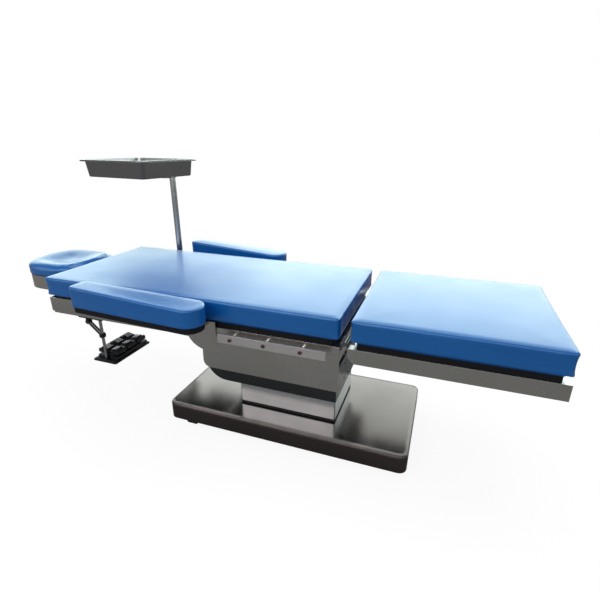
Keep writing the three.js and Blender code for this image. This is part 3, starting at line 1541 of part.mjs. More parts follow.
function makeFootSwitch() {
  const plateTop = frameBottom - touchGap;
  const plateBottom = plateTop - switchPlateThickness;
  const halfPlate = switchPlateWidth / 2;
  const collarTop = switchCollarHeight + switchCollarLength / 2;
  const stay = (offset) => {
    const from = new THREE.Vector3(switchRingX, switchRodY + offset, switchRingHeight);
    const to = new THREE.Vector3(switchRodX, switchRodY + offset, switchCollarHeight);
    const length = from.distanceTo(to);
    const geometry = new THREE.CylinderGeometry(switchStayRadius, switchStayRadius, length, smallSides);
    const along = to.clone().sub(from).normalize();
    const turn = new THREE.Quaternion().setFromUnitVectors(new THREE.Vector3(0, 1, 0), along);
    geometry.applyQuaternion(turn);
    const middle = from.add(to).divideScalar(2);
    return geometry.translate(middle.x, middle.y, middle.z);
  };
  const ringY0 = switchRodY - switchStaySpacing - switchRingThickness / 2;
  const ringY1 = switchRodY + switchStaySpacing + switchRingThickness / 2;
  const bracket = cut(
    join(
      block(
        switchPlateHead, switchPlateFoot, switchRodY - halfPlate, switchRodY + halfPlate,
        plateBottom, plateTop,
      ),
      barY(switchRingRadius, ringY0, ringY1, switchRingX, switchRingHeight),
      block(
        switchRingX - switchRingRadius / 2, switchRingX + switchRingRadius / 2, ringY0, ringY1,
        switchRingHeight, plateBottom + overrun,
      ),
      stay(-switchStaySpacing),
      stay(switchStaySpacing),
      barY(switchRingRadius, ringY0, ringY1, switchRodX, switchCollarHeight),
      barZ(switchCollarRadius, collarTop - switchCollarLength, collarTop, switchRodX, switchRodY),
      barZ(switchCollarRadius, plateBottom - switchCollarLength / 2, plateTop, switchRodX, switchRodY),
    ),
    barZ(
      switchRodRadius + runGap, switchBaseBottom, plateTop - switchPlateThickness / 4,
      switchRodX, switchRodY,
    ),
  );
  addPart('switch_bracket', bracket, blackPlastic);

  const baseTopHeight = switchBaseBottom + switchBaseHeight;
  const rodTop = plateTop - switchPlateThickness / 2;
  const rod = barZ(switchRodRadius, baseTopHeight + touchGap, rodTop, switchRodX, switchRodY);
  addPart('switch_rod', rod, steel);

  const y0 = switchRodY - switchRodInset;
  const y1 = y0 + switchBaseLength;
  const x0 = switchRodX - switchBaseWidth / 2;
  const x1 = switchRodX + switchBaseWidth / 2;
  const plateLoop = (inset) => roundedLoop(x0 + inset, x1 - inset, y0 + inset, y1 - inset, switchBaseBevel);
  const body = skin([
    atHeight(plateLoop(0), switchBaseBottom),
    atHeight(plateLoop(0), switchBaseBottom + switchBaseBevel),
    atHeight(plateLoop(switchBaseBevel), switchBaseBottom + switchBaseHeight / 2),
    atHeight(plateLoop(switchBaseBevel), switchBaseBottom + switchBaseHeight / 2 + touchGap),
  ]);
  const pedalStart = y0 + pedalSideRoom;
  const pedalSpace = (y1 - switchBaseBevel - pedalStart) / pedalCount;
  const pedalLength = pedalSpace - pedalGap - pedalEarThickness;
  const pivotHeight = baseTopHeight + pedalPivotRise;
  const ears = [];
  const earTop = pedalPinRadius * 3;
  for (let k = 0; k <= pedalCount; k += 1) {
    const y = pedalStart + k * pedalSpace - pedalGap / 2 - pedalEarThickness / 2;
    ears.push(sideOutline([
      [switchRodX - switchBaseHeight, switchBaseBottom + switchBaseHeight / 3],
      [switchRodX + switchBaseHeight, switchBaseBottom + switchBaseHeight / 3],
      [switchRodX + earTop, pivotHeight + pedalPinRadius * 2],
      [switchRodX - earTop, pivotHeight + pedalPinRadius * 2],
    ], y - pedalEarThickness / 2, y + pedalEarThickness / 2));
  }
  const postLow = switchBaseBottom + switchBaseHeight / 3;
  const post = barZ(switchSocketRadius, postLow, baseTopHeight, switchRodX, switchRodY);
  const pinLow = pedalStart - pedalGap / 2 - pedalEarThickness;
  const pinHigh = pinLow + pedalSpace * pedalCount + pedalEarThickness;
  const pin = barY(pedalPinRadius, pinLow, pinHigh, switchRodX, pivotHeight);
  const housing = block(
    x0 + housingInset, x1 - housingInset, pedalStart - pedalGap, y1 - housingInset,
    switchBaseBottom + switchBaseBevel, baseTopHeight + touchGap,
  );
  addPart('switch_base', join(body, housing, post, pin, ...ears), blackPlastic);

  for (let k = 0; k < pedalCount; k += 1) {
    const from = pedalStart + k * pedalSpace;
    makePedal('switch_pedal_' + (k + 1), from, from + pedalLength, pivotHeight);
  }
}

// A rocking pedal with two recessed treads
function makePedal(name, y0, y1, pivotHeight) {
  const half = pedalWidth / 2;
  const centreX = switchRodX;
  const under = pivotHeight - pedalPivotRise + pedalFootRoom;
  const ridge = pivotHeight + pedalPinRadius + pedalPadRecess * 2;
  const tip = ridge + pedalRise;
  const tipX = half - pedalTipInset;
  const body = sideOutline([
    [centreX - half, under + pedalEndLift],
    [centreX - half / 4, under],
    [centreX + half / 4, under],
    [centreX + half, under + pedalEndLift],
    [centreX + half, tip - pedalRise / 4],
    [centreX + tipX, tip],
    [centreX, ridge],
    [centreX - tipX, tip],
    [centreX - half, tip - pedalRise / 4],
  ], y0, y1);
  const tools = [barY(pedalPinRadius + touchGap, y0 - overrun, y1 + overrun, centreX, pivotHeight)];
  const slope = Math.atan2(tip - ridge, tipX);
  const margin = (y1 - y0) * pedalPadMarginShare;
  for (const side of [-1, 1]) {
    const tread = new THREE.BoxGeometry(pedalPadWidth, y1 - y0 - margin * 2, pedalPadRecess * 2);
    tread.rotateY(-side * slope);
    const height = (ridge + tip) / 2 + pedalPadLift;
    tread.translate(centreX + side * pedalPadCentre, (y0 + y1) / 2, height);
    tools.push(tread);
  }
  addPart(name, cut(body, ...tools), blackPlastic);
}

makeBase();
makeCasters();
makeColumn();
makeCarriage();
makeMainFrame();
makeBoardsAndCushions();
makeHood();
makeSideRails();
makeLegSection();
makeDriveRods();
makeHeadrest();
makeHeadKnob();
makeArmrests();
makeTray();
makeFootSwitch();

// The origin lies on the floor, under the middle of the whole table
const bounds = new THREE.Box3().setFromObject(table);
const middle = bounds.getCenter(new THREE.Vector3());
table.position.set(-middle.x, -middle.y, -bounds.min.z);

const operatingTable = new THREE.Group();
operatingTable.add(table);

export default operatingTable;
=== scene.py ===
import math

import bmesh
import bpy
import numpy as np
from mathutils import Matrix, Vector, noise


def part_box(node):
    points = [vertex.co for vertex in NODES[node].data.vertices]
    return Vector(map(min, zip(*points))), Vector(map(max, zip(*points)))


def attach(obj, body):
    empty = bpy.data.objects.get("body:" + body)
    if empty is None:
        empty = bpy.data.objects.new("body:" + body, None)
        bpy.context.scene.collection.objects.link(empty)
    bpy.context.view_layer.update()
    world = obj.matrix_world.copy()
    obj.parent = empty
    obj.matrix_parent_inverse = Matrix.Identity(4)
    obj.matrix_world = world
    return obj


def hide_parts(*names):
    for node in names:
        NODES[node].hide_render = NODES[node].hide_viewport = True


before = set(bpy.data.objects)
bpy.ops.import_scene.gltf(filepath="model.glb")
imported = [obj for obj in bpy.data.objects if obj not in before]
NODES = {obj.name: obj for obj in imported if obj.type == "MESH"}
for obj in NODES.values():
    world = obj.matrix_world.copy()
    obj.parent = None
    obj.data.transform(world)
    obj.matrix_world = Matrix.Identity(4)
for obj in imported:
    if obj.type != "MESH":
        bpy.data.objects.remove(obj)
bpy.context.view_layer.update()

# Lengths are in metres. PLAN is the middle of the base, on the floor.
MM = 0.001
TINY = 1e-9
BASE_LOW, BASE_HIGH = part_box("base_cover")
PLAN = Vector(((BASE_LOW.x + BASE_HIGH.x) / 2, (BASE_LOW.y + BASE_HIGH.y) / 2, 0))


# ---------------------------------------------------------------- camera

def make_camera():
    """The camera as fitted to the photograph: angles in radians, place from the middle of the base."""
    yaw, pitch, roll = -0.3423, 0.365, 0.0035
    focal_pixels, image_pixels = 407.1, 600
    place_from_base = Vector((0.4846, -1.339, 1.0539))
    forward = Vector((math.sin(yaw) * math.cos(pitch), math.cos(yaw) * math.cos(pitch), -math.sin(pitch)))
    level = Vector((math.cos(yaw), -math.sin(yaw), 0))
    lifted = level.cross(forward)
    right = level * math.cos(roll) + lifted * math.sin(roll)
    up = lifted * math.cos(roll) - level * math.sin(roll)
    data = bpy.data.cameras.new("camera")
    data.sensor_width = 36
    data.lens = focal_pixels / image_pixels * data.sensor_width
    data.clip_start = 0.05
    data.clip_end = 200
    camera = bpy.data.objects.new("camera", data)
    bpy.context.scene.collection.objects.link(camera)
    place = Matrix((right, up, -forward)).transposed().to_4x4()
    place.translation = PLAN + place_from_base
    camera.matrix_world = place
    bpy.context.scene.camera = camera


# ---------------------------------------------------------------- node trees

class Tree:
    """A node tree, with short calls to add and join nodes."""

    def __init__(self, tree):
        self.tree = tree

    def node(self, kind, **values):
        """Adds a node. A value goes to the input of that name, or else to the node's own setting."""
        made = self.tree.nodes.new(kind)
        for key, value in values.items():
            if key in made.inputs:
                made.inputs[key].default_value = value
            else:
                setattr(made, key, value)
        return made

    def join(self, source, target):
        self.tree.links.new(source, target)

    def remap(self, source, low, high, to_low, to_high, curve="LINEAR"):
        made = self.node("ShaderNodeMapRange", interpolation_type=curve)
        for name, value in (("From Min", low), ("From Max", high), ("To Min", to_low), ("To Max", to_high)):
            made.inputs[name].default_value = value
        self.join(source, made.inputs["Value"])
        return made.outputs["Result"]

    def ramp(self, source, start, end):
        """A smooth step from 0 at start to 1 at end."""
        return self.remap(source, start, end, 0.0, 1.0, "SMOOTHSTEP")

    def math(self, operation, *values):
        made = self.node("ShaderNodeMath", operation=operation)
        for value, socket in zip(values, made.inputs):
            if isinstance(value, (int, float)):
                socket.default_value = value
            else:
                self.join(value, socket)
        return made.outputs["Value"]

    def product(self, first, *others):
        for other in others:
            first = self.math("MULTIPLY", first, other)
        return first

    def blend(self, share, first, second):
        """Mixes two colours, each a tuple or a socket."""
        made = self.node("ShaderNodeMix", data_type="RGBA")
        self.join(share, made.inputs["Factor"])
        for value, socket in ((first, made.inputs[6]), (second, made.inputs[7])):
            if isinstance(value, tuple):
                socket.default_value = (*value, 1)
            else:
                self.join(value, socket)
        return made.outputs[2]

    def mix_shaders(self, share, first, second):
        made = self.node("ShaderNodeMixShader")
        for source, target in zip((share, first, second), made.inputs):
            self.join(source, target)
        return made.outputs[0]


# ---------------------------------------------------------------- materials

class Net(Tree):
    """A material around the Principled shader, with the calls that its textures need."""

    def __init__(self, name):
        self.material = bpy.data.materials.new(name)
        self.material.use_nodes = True
        super().__init__(self.material.node_tree)
        self.bsdf = self.tree.nodes["Principled BSDF"]
        self.place = self.node("ShaderNodeTexCoord").outputs["Object"]

    def stretched(self, scale):
        mapping = self.node("ShaderNodeMapping", Scale=scale)
        self.join(self.place, mapping.inputs["Vector"])
        return mapping.outputs["Vector"]

    def noise(self, scale, detail=2.0, rough=0.5, where=None):
        made = self.node("ShaderNodeTexNoise", Scale=scale, Detail=detail, Roughness=rough)
        self.join(where or self.place, made.inputs["Vector"])
        return made.outputs["Fac"]

    def pebbles(self, scale):
        made = self.node("ShaderNodeTexVoronoi", Scale=scale, feature="SMOOTH_F1")
        self.join(self.place, made.inputs["Vector"])
        return made.outputs["Distance"]

    def bump(self, height, strength, distance, below=None):
        made = self.node("ShaderNodeBump", Strength=strength, Distance=distance)
        self.join(height, made.inputs["Height"])
        if below is not None:
            self.join(below, made.inputs["Normal"])
        return made.outputs["Normal"]

    def soft_edges(self, radius):
        return self.node("ShaderNodeBevel", Radius=radius, samples=4).outputs["Normal"]

    def finish(self, colour, rough, normal, **fixed):
        """Joins the three textured sockets, and sets the values that are the same all over."""
        for value, name in ((colour, "Base Color"), (rough, "Roughness"), (normal, "Normal")):
            self.join(value, self.bsdf.inputs[name])
        for name, value in fixed.items():
            self.bsdf.inputs[name.replace("_", " ")].default_value = value
        return self.material


def tone(colour, factor):
    return tuple(min(channel * factor, 1.0) for channel in colour)


def brushed_metal(name, colour, rough, contrast=0.1, edge=0.0012):
    """Sheet metal with fine lines along x, faint cloudy smudges and softened edges."""
    net = Net(name)
    lines = net.noise(1.0, 2.0, 0.6, net.stretched((4, 900, 900)))
    broad = net.noise(1.0, 1.0, 0.5, net.stretched((1.6, 260, 260)))
    clouds = net.noise(3.2, 3.0, 0.55)
    marks = net.noise(34.0, 4.0, 0.6)
    grain = net.math("ADD", net.math("MULTIPLY", lines, 0.7), net.math("MULTIPLY", broad, 0.3))
    shade = net.blend(grain, tone(colour, 1 - contrast), tone(colour, 1 + contrast))
    shade = net.blend(net.remap(clouds, 0.35, 0.7, 0, 0.7), shade, tone(colour, 0.78))
    roughness = net.math("ADD", net.remap(clouds, 0.3, 0.7, rough - 0.03, rough + 0.05),
                         net.remap(marks, 0.5, 0.8, 0, 0.03))
    normal = net.bump(lines, 0.02, 0.0003, net.soft_edges(edge))
    return net.finish(shade, roughness, normal, Metallic=1.0)


def bright_metal(name, colour, rough):
    """Polished metal with a few faint scratches."""
    net = Net(name)
    clouds = net.noise(9.0, 3.0)
    lines = net.noise(1.0, 2.0, 0.6, net.stretched((700, 700, 40)))
    shade = net.blend(clouds, tone(colour, 0.93), tone(colour, 1.04))
    roughness = net.remap(clouds, 0.3, 0.7, rough, rough + 0.07)
    return net.finish(shade, roughness, net.bump(lines, 0.03, 0.0003, net.soft_edges(0.001)), Metallic=1.0)


def painted_metal(name, colour):
    """Paint with a fine orange peel and a little dust."""
    net = Net(name)
    peel = net.noise(420.0, 2.0)
    dust = net.noise(14.0, 4.0)
    shade = net.blend(net.remap(dust, 0.35, 0.75, 0, 1), colour, tone(colour, 1.35))
    roughness = net.remap(dust, 0.3, 0.7, 0.42, 0.58)
    return net.finish(shade, roughness, net.bump(peel, 0.12, 0.0006, net.soft_edges(0.0015)), Metallic=0.25)


def moulded_plastic(name, colour, rough):
    """Plastic with a fine spark-eroded grain and a little dust."""
    net = Net(name)
    spark = net.noise(1500.0, 1.0)
    dust = net.noise(22.0, 3.0)
    shade = net.blend(net.remap(dust, 0.4, 0.75, 0, 1), colour, tone(colour, 1.6))
    roughness = net.remap(dust, 0.3, 0.7, rough - 0.05, rough + 0.12)
    return net.finish(shade, roughness, net.bump(spark, 0.2, 0.0004, net.soft_edges(0.001)))


def rubber(name, colour):
    """Matt rubber with grit and dust."""
    net = Net(name)
    grit = net.noise(900.0, 3.0)
    dust = net.noise(40.0, 4.0)
    shade = net.blend(net.remap(dust, 0.4, 0.75, 0, 1), colour, tone(colour, 2.2))
    roughness = net.remap(dust, 0.3, 0.7, 0.7, 0.92)
    return net.finish(shade, roughness, net.bump(grit, 0.3, 0.0005))


def laminated_board(name, colour):
    """Black faced board: a faint wood grain under a satin film."""
    net = Net(name)
    grain = net.noise(1.0, 4.0, 0.6, net.stretched((6, 190, 190)))
    pores = net.noise(700.0, 1.0)
    shade = net.blend(grain, tone(colour, 0.7), tone(colour, 1.5))
    roughness = net.remap(grain, 0.3, 0.7, 0.56, 0.7)
    normal = net.bump(pores, 0.15, 0.0004, net.soft_edges(0.0008))
    return net.finish(shade, roughness, normal, Specular_IOR_Level=0.2)


def vinyl(name, colour):
    """Upholstery vinyl: fine pebble grain, slow waves of the stretched cover and a glossy top film."""
    net = Net(name)
    pebbles = net.pebbles(1150.0)
    creases = net.noise(300.0, 3.0, 0.6)
    waves = net.noise(7.0, 2.0, 0.45)
    clouds = net.noise(2.4, 3.0)
    shade = net.blend(net.remap(clouds, 0.3, 0.7, 0, 1), tone(colour, 0.94), tone(colour, 1.06))
    shade = net.blend(net.remap(pebbles, 0.1, 0.7, 0, 0.35), shade, tone(colour, 0.8))
    roughness = net.remap(waves, 0.3, 0.7, 0.3, 0.36)
    fine = net.bump(net.math("ADD", pebbles, net.math("MULTIPLY", creases, 0.5)), 0.1, 0.0006)
    normal = net.bump(waves, 0.12, 0.004, fine)
    return net.finish(
        shade, roughness, normal, Specular_IOR_Level=0.75, Specular_Tint=(0.6, 0.97, 1.0, 1),
        Coat_Weight=0.4, Coat_Roughness=0.16, Coat_IOR=1.5,
    )


MATERIALS = {
    "steel": brushed_metal("stainless_along_x", (0.57, 0.555, 0.525), 0.26),
    # Hinge leaves: the same stainless, darkened as painted shade where they lie under the pads
    "leaf": brushed_metal("leaf_steel_painted_shade", (0.2, 0.195, 0.19), 0.34),
    # Side rails: the same stainless, lightened as a painted highlight against the shaded apron behind them
    "rail": brushed_metal("rail_steel_painted_highlight", (0.92, 0.87, 0.86), 0.3),
    # Column shroud: the same stainless, darkened as painted shade under the table top and of the dark floor it
    # mirrors
    "shroud": brushed_metal("shroud_steel_painted_shade", (0.105, 0.108, 0.113), 0.26),
    # Column sleeve: the same stainless, lightened and cooled as painted light for the bright reflection on its
    # lower part
    "sleeve": brushed_metal("sleeve_steel_painted_light", (0.86, 0.96, 1.0), 0.2),
    # Base cover: the same stainless, darkened and browned as painted shade and a painted reflection of a dark room
    "base": brushed_metal("base_stainless", (0.2, 0.168, 0.161), 0.16, 0.14, 0.013),
    "tray": brushed_metal("tray_stainless", (0.27, 0.27, 0.27), 0.17, 0.06),
    "chrome": bright_metal("bright_steel", (0.72, 0.73, 0.74), 0.09),
    "post": bright_metal("post_steel", (0.46, 0.46, 0.45), 0.2),
    "painted": painted_metal("dark_paint", (0.05, 0.054, 0.058)),
    "board": laminated_board("black_board", (0.006, 0.006, 0.008)),
    "plastic": moulded_plastic("black_plastic", (0.006, 0.006, 0.009), 0.36),
    "tread": moulded_plastic("tread_grey", (0.86, 0.87, 0.9), 0.45),
    "bolt": bright_metal("bolt_steel", (0.14, 0.085, 0.085), 0.3),
    "rubber": rubber("black_rubber", (0.008, 0.008, 0.009)),
    "vinyl": vinyl("blue_vinyl", (0.003, 0.14, 0.51)),
}

# The beginnings of the names of the CAD nodes that wear each material
WEARERS = {
    "steel": (
        "main_frame", "leg_frame", "head_frame", "apron_", "hood_nose", "arm_bracket_", "post_socket",
        "tray_holder", "lift_tube",
    ),
    "leaf": ("hinge_leaf_", "hinge_pin_leaf_"),
    "rail": ("side_rail_",),
    "shroud": ("shroud_",),
    "sleeve": ("column_sleeve",),
    "base": ("base_cover",),
    "tray": ("instrument_tray",),
    "chrome": ("tilt_rod", "leg_rod", "head_slide"),
    "post": ("tray_post", "switch_rod"),
    "painted": (
        "base_chassis", "column_guide", "lift_cylinder", "carriage_head", "tilt_cylinder", "leg_cylinder",
    ),
    "board": ("main_board", "leg_board", "head_board", "arm_board_"),
    "plastic": (
        "switch_bracket", "switch_base", "switch_pedal_", "head_clamp_knob", "post_clamp_knob", "caster_fork_",
    ),
    "rubber": ("column_seal", "caster_wheel_"),
    "vinyl": ("main_cushion", "leg_cushion", "head_cushion", "arm_cushion_"),
}


def split_edges(obj, degrees):
    """Keeps edges sharper than this crisp under smooth shading."""
    obj.modifiers.new("crease", "EDGE_SPLIT").split_angle = math.radians(degrees)


def dress_nodes():
    for node, obj in NODES.items():
        look = next(look for look, beginnings in WEARERS.items() if node.startswith(beginnings))
        obj.data.materials.clear()
        obj.data.materials.append(MATERIALS[look])
        for polygon in obj.data.polygons:
            polygon.use_smooth = True
        split_edges(obj, 33)


# ---------------------------------------------------------------- mesh helpers

def new_piece(name, verts, faces, look, body, smooth=True):
    mesh = bpy.data.meshes.new(name)
    mesh.from_pydata([tuple(v) for v in verts], [], faces)
    mesh.validate()
    mesh.update()
    piece = bpy.data.objects.new(name, mesh)
    bpy.context.scene.collection.objects.link(piece)
    mesh.materials.append(MATERIALS[look])
    for polygon in mesh.polygons:
        polygon.use_smooth = smooth
    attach(piece, body)
    return piece


# Places of the grid lines in a rounded edge, as shares of its radius from the outside in
EDGE_SHARES = (0, 0.36, 0.7)


def cell_lines(length, edge, cell):
    """Grid lines from 0 to length: close ones in the rounded edge at each end, then even cells."""
    inner = length - 2 * edge
    count = max(2, round(inner / cell))
    lines = [edge * share for share in EDGE_SHARES]
    lines += [edge + inner * k / count for k in range(count + 1)]
    lines += [length - edge * share for share in EDGE_SHARES[::-1]]
    return np.array(lines)


def box_grid(xs, ys, zs):
    """The surface of a block as a welded grid of quads, faces out."""
    index = {}
    verts = []
    faces = []
    nx, ny, nz = len(xs) - 1, len(ys) - 1, len(zs) - 1

    def at(i, j, k):
        if (i, j, k) not in index:
            index[i, j, k] = len(verts)
            verts.append((xs[i], ys[j], zs[k]))
        return index[i, j, k]

    for i in range(nx):
        for j in range(ny):
            faces.append((at(i, j, nz), at(i + 1, j, nz), at(i + 1, j + 1, nz), at(i, j + 1, nz)))
            faces.append((at(i, j, 0), at(i, j + 1, 0), at(i + 1, j + 1, 0), at(i + 1, j, 0)))
    for i in range(nx):
        for k in range(nz):
            faces.append((at(i, 0, k), at(i + 1, 0, k), at(i + 1, 0, k + 1), at(i, 0, k + 1)))
            faces.append((at(i, ny, k), at(i, ny, k + 1), at(i + 1, ny, k + 1), at(i + 1, ny, k)))
    for j in range(ny):
        for k in range(nz):
            faces.append((at(0, j, k), at(0, j, k + 1), at(0, j + 1, k + 1), at(0, j + 1, k)))
            faces.append((at(nx, j, k), at(nx, j + 1, k), at(nx, j + 1, k + 1), at(nx, j, k + 1)))
    return np.array(verts), faces


def rounded_plan(x, y, half_x, half_y, radius):
    """
    Moves points of a rectangle, centred on zero, to the rectangle with rounded corners.
    Gives the moved x and y and the outward normal's x and y.
    """
    qx = np.clip(x, -(half_x - radius), half_x - radius)
    qy = np.clip(y, -(half_y - radius), half_y - radius)
    dx, dy = x - qx, y - qy
    length = np.hypot(dx, dy)
    safe = np.maximum(length, TINY)
    in_corner = length > TINY
    scale = np.where(in_corner, np.maximum(np.abs(dx), np.abs(dy)) / safe, 1)
    near_end = half_x - np.abs(x) <= half_y - np.abs(y)
    nx = np.where(in_corner, dx / safe, np.where(near_end, np.sign(x), 0))
    ny = np.where(in_corner, dy / safe, np.where(near_end, 0, np.sign(y)))
    return qx + dx * scale, qy + dy * scale, nx, ny


def ring_strip(rings, close_low=True):
    """Rings of points with the same count, skinned into one surface and closed over its ends."""
    count = len(rings[0])
    verts = [tuple(p) for ring in rings for p in ring]
    faces = []
    for r in range(len(rings) - 1):
        for k in range(count):
            nxt = (k + 1) % count
            low, high = r * count, (r + 1) * count
            faces.append((low + k, low + nxt, high + nxt, high + k))
    ends = [(0, True)] if close_low else []
    for ring, flip in ends + [(len(rings) - 1, False)]:
        verts.append(tuple(np.mean(np.array(rings[ring]), axis=0)))
        for k in range(count):
            a, b = ring * count + k, ring * count + (k + 1) % count
            faces.append((b, a, len(verts) - 1) if flip else (a, b, len(verts) - 1))
    return verts, faces


def rounded_outline(x0, x1, y0, y1, radius):
    """A closed loop round a rectangle with rounded corners, with points along its straight sides too."""
    arc_steps, side_steps = 5, 30
    corners = [(x1 - radius, y1 - radius, 0), (x0 + radius, y1 - radius, 90),
               (x0 + radius, y0 + radius, 180), (x1 - radius, y0 + radius, 270)]
    loop = []
    for number, (cx, cy, start) in enumerate(corners):
        for step in range(arc_steps + 1):
            angle = math.radians(start + 90 * step / arc_steps)
            loop.append((cx + radius * math.cos(angle), cy + radius * math.sin(angle)))
        nx, ny, following = corners[(number + 1) % 4]
        angle = math.radians(following)
        target = (nx + radius * math.cos(angle), ny + radius * math.sin(angle))
        begin = loop[-1]
        for step in range(1, side_steps):
            share = step / side_steps
            loop.append(tuple(begin[a] + (target[a] - begin[a]) * share for a in (0, 1)))
    return loop


def circle(count, radius=1.0):
    return [(math.cos(math.tau * k / count) * radius, math.sin(math.tau * k / count) * radius)
            for k in range(count)]


def at_height(loop, z):
    return [(x, y, z) for x, y in loop]


def below(verts, level):
    return np.array([v[2] < level for v in verts])


# ---------------------------------------------------------------- stretched covers

def fold_noise(point, seed):
    return noise.noise(Vector((point[0], point[1], point[2] + seed)))


def swell(piece, held, most):
    """Blows a cover up over its foam by cloth simulation. Held points stay, and none moves further than most."""
    steps = 20
    mesh = piece.data
    start = np.empty(len(mesh.vertices) * 3)
    mesh.vertices.foreach_get("co", start)
    start = start.reshape(-1, 3)
    group = piece.vertex_groups.new(name="held")
    group.add([int(k) for k in np.nonzero(held)[0]], 1.0, "REPLACE")
    cloth = piece.modifiers.new("cloth", "CLOTH")
    values = cloth.settings
    values.quality = 5
    values.mass = 0.3
    values.tension_stiffness = values.compression_stiffness = 18
    values.shear_stiffness = 8
    values.bending_stiffness = 0.4
    values.use_pressure = True
    values.uniform_pressure_force = 4
    values.effector_weights.gravity = 0
    values.vertex_group_mass = "held"
    cloth.collision_settings.use_collision = False
    cloth.collision_settings.use_self_collision = False
    cloth.point_cache.frame_start = 1
    cloth.point_cache.frame_end = steps
    scene = bpy.context.scene
    for step in range(1, steps + 1):
        scene.frame_set(step)
    shown = piece.evaluated_get(bpy.context.evaluated_depsgraph_get()).to_mesh()
    blown = np.empty(len(mesh.vertices) * 3)
    shown.vertices.foreach_get("co", blown)
    move = blown.reshape(-1, 3) - start
    reach = np.linalg.norm(move, axis=1)
    move *= (np.minimum(reach, most) / np.maximum(reach, TINY))[:, None]
    piece.modifiers.remove(cloth)
    piece.vertex_groups.remove(group)
    mesh.vertices.foreach_set("co", (start + move).ravel())
    mesh.update()
    scene.frame_set(1)


def subdivide(piece):
    smooth = piece.modifiers.new("smooth", "SUBSURF")
    smooth.levels = smooth.render_levels = 1


def cover(piece, node):
    """Finishes a cover that stands for a CAD cushion."""
    subdivide(piece)
    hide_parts(node)


def gather(piece, x, y, level, inward, outward, half_x, seed):
    """Small upright folds where the cover is drawn round a pad's ends, and slow waves along its sides and top."""
    wall_reach, end_reach = 0.035, 0.03
    top_wave, top_scale = 0.5 * MM, 4.5
    end_folds, side_folds = (30, 1.8), (11, 0.8)  # Folds' closeness, and their depth in millimetres
    sides_apart, up_closeness = 3.1, 0.7
    least, more, tallest = 0.35, 0.65, 1.1  # The folds are least deep at the foot, and deepest half way up
    inwards = 0.45  # Taken off the noise, so that most folds go in
    nx, ny = outward
    for k, vertex in enumerate(piece.data.vertices):
        wall = max(0.0, 1 - inward[k] / wall_reach)
        if wall == 0 and level[k] > 0:
            vertex.co.z += top_wave * fold_noise(vertex.co * top_scale, seed)
            continue
        end = half_x - abs(x[k]) < end_reach
        across, side = (y[k], x[k]) if end else (x[k], y[k])
        closeness, deepest = end_folds if end else side_folds
        spot = (across * closeness, level[k] * up_closeness, sides_apart * math.copysign(1, side))
        depth = deepest * MM * wall * (least + more * math.sin(math.pi * min(level[k] * tallest, 1)))
        move = depth * (fold_noise(spot, seed) - inwards)
        vertex.co.x += nx[k] * move
        vertex.co.y += ny[k] * move
    piece.data.update()


# ---------------------------------------------------------------- pads

PLINTH_HEIGHT = 8 * MM


def slab_pad(label, body, gap_side, seed):
    """
    A section's foam pad in a stretched cover: a flat rounded block with a crown, drawn-in sides and folds.
    gap_side is 1 or -1: the end, along x, that faces the other section's pad and is drawn in less.
    """
    corner, low_edge, high_edge = 9 * MM, 4.5 * MM, 7.5 * MM
    cell, wall_cell = 11 * MM, 9 * MM
    crown, crown_reach, crown_room = 2.0 * MM, 0.22, 4 * MM
    drawn_in = (0.5, 1.2)  # In the middle of a wall's height, at the gap and elsewhere, in millimetres
    end_bow, side_bow, bow_reach = (0.3, 1.6), 2.4, 0.06
    held_reach, most = 0.01, 1.4 * MM

    low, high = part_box(label + "_cushion")
    middle_x, middle_y = (low.x + high.x) / 2, (low.y + high.y) / 2
    half_x, half_y = (high.x - low.x) / 2, (high.y - low.y) / 2
    bottom = low.z + PLINTH_HEIGHT
    height = high.z - crown_room - bottom
    xs = cell_lines(2 * half_x, high_edge, cell) - half_x
    ys = cell_lines(2 * half_y, high_edge, cell) - half_y
    low_lines = [low_edge * share for share in (0, 0.5, 1)]
    high_lines = [height - high_edge * share for share in (1, *EDGE_SHARES[::-1])]
    walls = round((height - low_edge - high_edge) / wall_cell)
    between = [low_edge + (height - high_edge - low_edge) * k / walls for k in range(1, walls)]
    verts, faces = box_grid(xs, ys, np.array(low_lines + between + high_lines))
    x, y, z = verts.T
    level = z / height
    inward = np.minimum(half_x - np.abs(x), half_y - np.abs(y))
    floor_points = z < TINY
    lid_points = height - z < TINY
    px, py, nx, ny = rounded_plan(x, y, half_x, half_y, corner)

    # Rounding of the top and bottom edges, in the plane across the edge
    for from_edge, edge, up in ((height - z, high_edge, 1), (z, low_edge, -1)):
        ds = np.minimum(inward - edge, 0)
        dt = np.minimum(from_edge - edge, 0)
        near = (ds < 0) & (dt < 0)
        reach = np.hypot(ds, dt)
        shift = np.where(near, 1 - np.maximum(-ds, -dt) / np.maximum(reach, TINY), 0)
        px = px + nx * ds * shift
        py = py + ny * ds * shift
        z = z + up * dt * shift

    # Crown, drawn-in sides, and the long bow of each side
    rise = crown * np.sin(np.clip(inward / crown_reach, 0, 1) * math.pi / 2)
    z = z + np.where(lid_points, rise, 0)
    upright = np.sin(np.clip(z / height, 0, 1) * math.pi)
    facing = np.sign(x) == gap_side
    draw = np.where(inward < TINY, np.where(facing, *drawn_in) * MM * upright, 0)
    fade = np.clip(1 - inward / bow_reach, 0, 1)
    bow_x = np.where(facing, *end_bow) * MM * (1 - (y / half_y) ** 2) * fade
    bow_y = side_bow * MM * (1 - (x / half_x) ** 2) * fade
    px = px - np.sign(x) * np.where(np.abs(x) > half_x - bow_reach, bow_x, 0) - nx * draw
    py = py - np.sign(y) * np.where(np.abs(y) > half_y - bow_reach, bow_y, 0) - ny * draw
    out = np.stack((px + middle_x, py + middle_y, z + bottom), 1)
    pad = new_piece(label + "_pad", out, faces, "vinyl", body)
    swell(pad, floor_points | (lid_points & (inward > held_reach)), most)
    gather(pad, x, y, level, inward, (nx, ny), half_x, seed)
    cover(pad, label + "_cushion")


